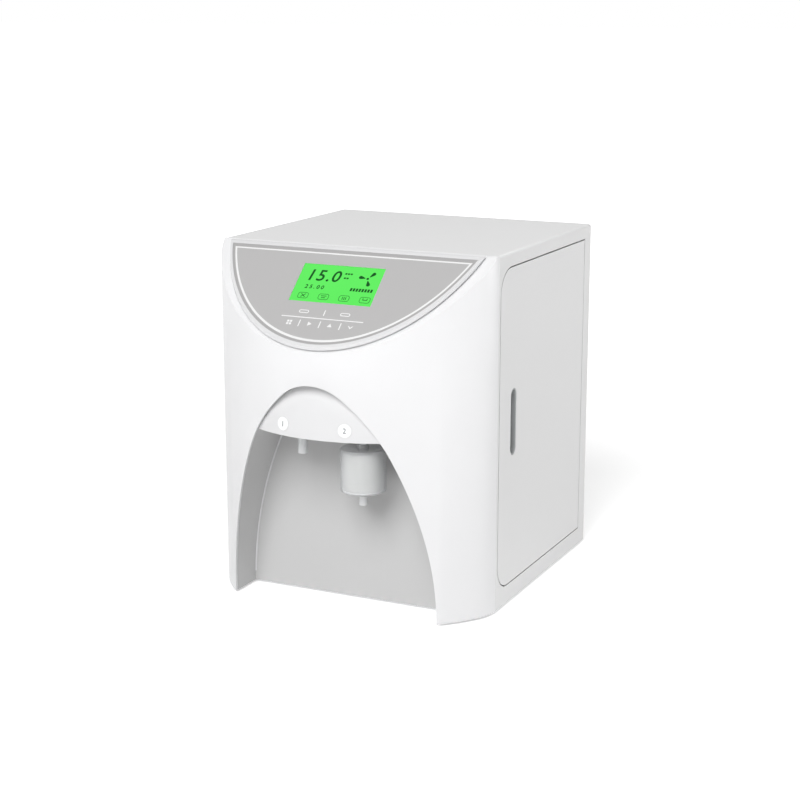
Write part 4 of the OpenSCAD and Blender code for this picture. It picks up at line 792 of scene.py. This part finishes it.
brushed_case, tree, place, shader, drift = surface("brushed_aluminium_sheet", "#c6c8ca", 0.34, 1.0, 0.03, 40)
stretch = add(tree, "ShaderNodeMapping", {}, {"Vector": place, "Scale": (1, 1, 30)})
lines = add(tree, "ShaderNodeTexNoise", {},
            {"Vector": stretch.outputs[0], "Scale": 1000 / 12, "Detail": 3.0})
relief(tree, shader, lines.outputs["Fac"], 0.006, 0.34, 0.1)
soften("power_supply", 0.5, brushed_case)
strip_black = moulded("moulded_terminal_black", "#232527", 0.5)
strip_x, strip_z = -107.5, 76
strip_back, wall_back, screw_back = 142.9, 135, 134.9       # y, from which each part stands forward
pole_pitch = 10.5
strip = [moved(prism(round_rect(84, 13, 0.8, 2), 0, 8), shift(strip_x, strip_back, strip_z, (90, 0, 0)))]
strip += [moved(prism(round_rect(1.4, 12, 0.3, 2), 0, 3),
                shift(strip_x + pole_pitch * i, wall_back, strip_z, (90, 0, 0))) for i in range(-4, 5)]
fit("supply_terminals", mesh_of("supply_terminals", strip, 0.3), "power_supply", strip_black)
screw = mesh_of("screw", [lathe([(0, 0), (3, 0), (3, 1.0), (2.4, 1.5), (0, 1.5)], 20, False)])
copies("supply_terminal_screws", screw,
       [(strip_x + pole_pitch * (i + 0.5), screw_back, strip_z, 90, 0, 0) for i in range(-4, 4)],
       "power_supply", turned_steel)


# ---------- Control board ----------
# A green board on four stand-offs on the bulkhead, with white wire sockets, a relay, a chip and
# three capacitors. Small parts sit in rows between them.

soften("control_board", 0.4, board_laminate)
board_face = 54.4                       # x of the board's face; the parts stand out from it towards -x
part_zs, part_first, part_pitch = (222, 229, 292.5, 297.5), -24, 8
leg_zs, leg_first, leg_pitch = (246.4, 275.6), 49, 1.6
socket_top, socket_z, socket_first, socket_pitch = 9.1, 210, -8, 26
chip_black = moulded("moulded_chip_black", "#202224", 0.5, 0.5, 0.01)
chip = mesh_of("chip", [prism(round_rect(3.4, 2.0, 0.2, 1), 0, 1.1)], 0.15)
copies("board_small_parts", chip,
       [(board_face + 0.02, part_first + part_pitch * i, z, 0, -90, 0) for z in part_zs for i in range(15)],
       "control_board", chip_black)
pin = mesh_of("pin", [prism(round_rect(0.6, 2.2, 0.1, 1), 0, 0.5)])
copies("board_chip_legs", pin,
       [(board_face, leg_first + leg_pitch * i, z, 0, -90, 0) for z in leg_zs for i in range(17)],
       "control_board", turned_steel)
cover = [moved(prism(round_rect(13, 17, 0.8, 2), 0, 0.6),
               shift(board_face - socket_top, socket_first + socket_pitch * i, socket_z, (0, -90, 0)))
         for i in range(5)]
fit("board_socket_tops", mesh_of("board_socket_tops", cover, 0.15), "control_board", nylon_white)


# ---------- Valves and conductivity cell ----------
# Three solenoid valves with nylon bodies and taped coils over the rear ports, and a flow cell whose
# two electrodes are potted in a pale plastic body clipped to the bulkhead.

valve_nylon = moulded("moulded_valve_nylon", "#d2d4d3", 0.45)
soften("solenoid_valves", 0.5, valve_nylon)
coil_tape, tree, place, shader, drift = surface("coil_tape_yellow", "#c9a63a", 0.35, mottle=0.05,
                                                mottle_mm=5)
lay = add(tree, "ShaderNodeTexWave", {"bands_direction": "Z"},
          {"Vector": place, "Scale": 1000 / 9, "Distortion": 0.6})
relief(tree, shader, lay.outputs["Fac"], 0.05)
port_first, port_pitch = -40, 28        # the valves stand over the rear ports
coil_y, coil_z = 174, 303
tape = [moved(prism(round_rect(22.6, 26.6, 1.0, 2), 0, 12),
              shift(port_first + port_pitch * i, coil_y, coil_z)) for i in range(3)]
fit("valve_coil_tape", mesh_of("valve_coil_tape", tape, 0.4), "solenoid_valves", coil_tape)
cell_plastic = moulded("cast_acetal_grey", "#cfd3d6", 0.4)
soften("conductivity_cell", 0.6, cell_plastic)


# ---------- Tubing ----------
# Quarter inch polyethylene tube, milky and slightly glossy, pushed into every fitting. Blue clips
# lock the fittings of the vessels, the pump and the cell.

tube_milky = moulded("drawn_polyethylene_milky", "#e0e8ec", 0.3, 6.0, 0.03, **{"Transmission Weight": 0.25})
for node in ("port_tubes", "pump_tube", "membrane_tube", "ro_tube", "product_tube"):
    dress(node, tube_milky)
clip_blue = moulded("moulded_clip_blue", "#3f6fb0", 0.4)
clip = mesh_of("clip", [lathe([(3.3, 0), (5.4, 0), (5.4, 1.2), (4.6, 1.6), (4.6, 2.4), (3.3, 2.4)], 32)])
cap_top_z = 339.05
pump_port_y, pump_port_out = 21.5, 48.05
cell_x, cell_y, cell_top_z, cell_foot_z = 37.5, -67, 339.8, 281.6
ends = [(vessel_x, vessel_y, cap_top_z, 0, 0, 0), (vessel_x, column_y, cap_top_z, 0, 0, 0),
        (pump_x, pump_port_y, pump_z + pump_port_out, 0, 0, 0),
        (pump_x + pump_port_out, pump_port_y, pump_z, 0, 90, 0),
        (cell_x, cell_y, cell_top_z, 0, 0, 0), (cell_x, cell_y, cell_foot_z, 180, 0, 0)]
copies("tube_clips", clip, ends, "product_tube", clip_blue)


# ---------- Rear face ----------
# The rear panel is folded sheet with the housing's coat, held by ten pan head screws with cross
# recesses. Four bulkhead unions with hex nuts carry blue push-in collets, each with a plain number.

soften("rear_panel", 0.3, housing_coat)
soften("rear_screws", 0.25, turned_steel)
fitting_plastic = moulded("moulded_acetal_white", "#e6e8e9", 0.32)
soften("port_unions", 0.5, fitting_plastic)
collet_blue = moulded("moulded_collet_blue", "#3f6fb0", 0.36)
for i in range(1, 5):
    soften(f"collet_{i}", 0.3, collet_blue)
rear_y, number_z = 193.12, 150
numbers = [moved(figures(str(i + 1), 8, -2.2, 0),
                 shift(port_first + port_pitch * i, rear_y, number_z, (90, 0, 180))) for i in range(4)]
fit("port_numbers", mesh_of("port_numbers", numbers), "rear_panel", print_grey)


# ---------- Mains inlet and switch ----------
# A moulded three-blade appliance inlet with a fuse drawer, and a rocker switch beside it, both
# snapped into the panel. The blades are nickel plated.

inlet_black = moulded("moulded_inlet_black", "#1b1c1e", 0.42)
soften("mains_inlet", 0.5, inlet_black)
soften("fuse_drawer", 0.4, moulded("moulded_drawer_black", "#303236", 0.38))
inlet_x, inlet_z, blade_tip_y = -118, 37, 189.2
blades = [moved(prism(round_rect(2.3, 4.3, 0.4, 2), -0.4, 15.4),
                shift(inlet_x + x, blade_tip_y, inlet_z + z, (90, 0, 0)))
          for x, z in ((0, 4), (-7, -3), (7, -3))]
fit("inlet_blades", mesh_of("inlet_blades", blades, 0.2), "mains_inlet", magnet_nickel)
soften("power_switch", 0.5, inlet_black)
soften("power_rocker", 0.4, moulded("moulded_rocker_black", "#2a2c2f", 0.3))
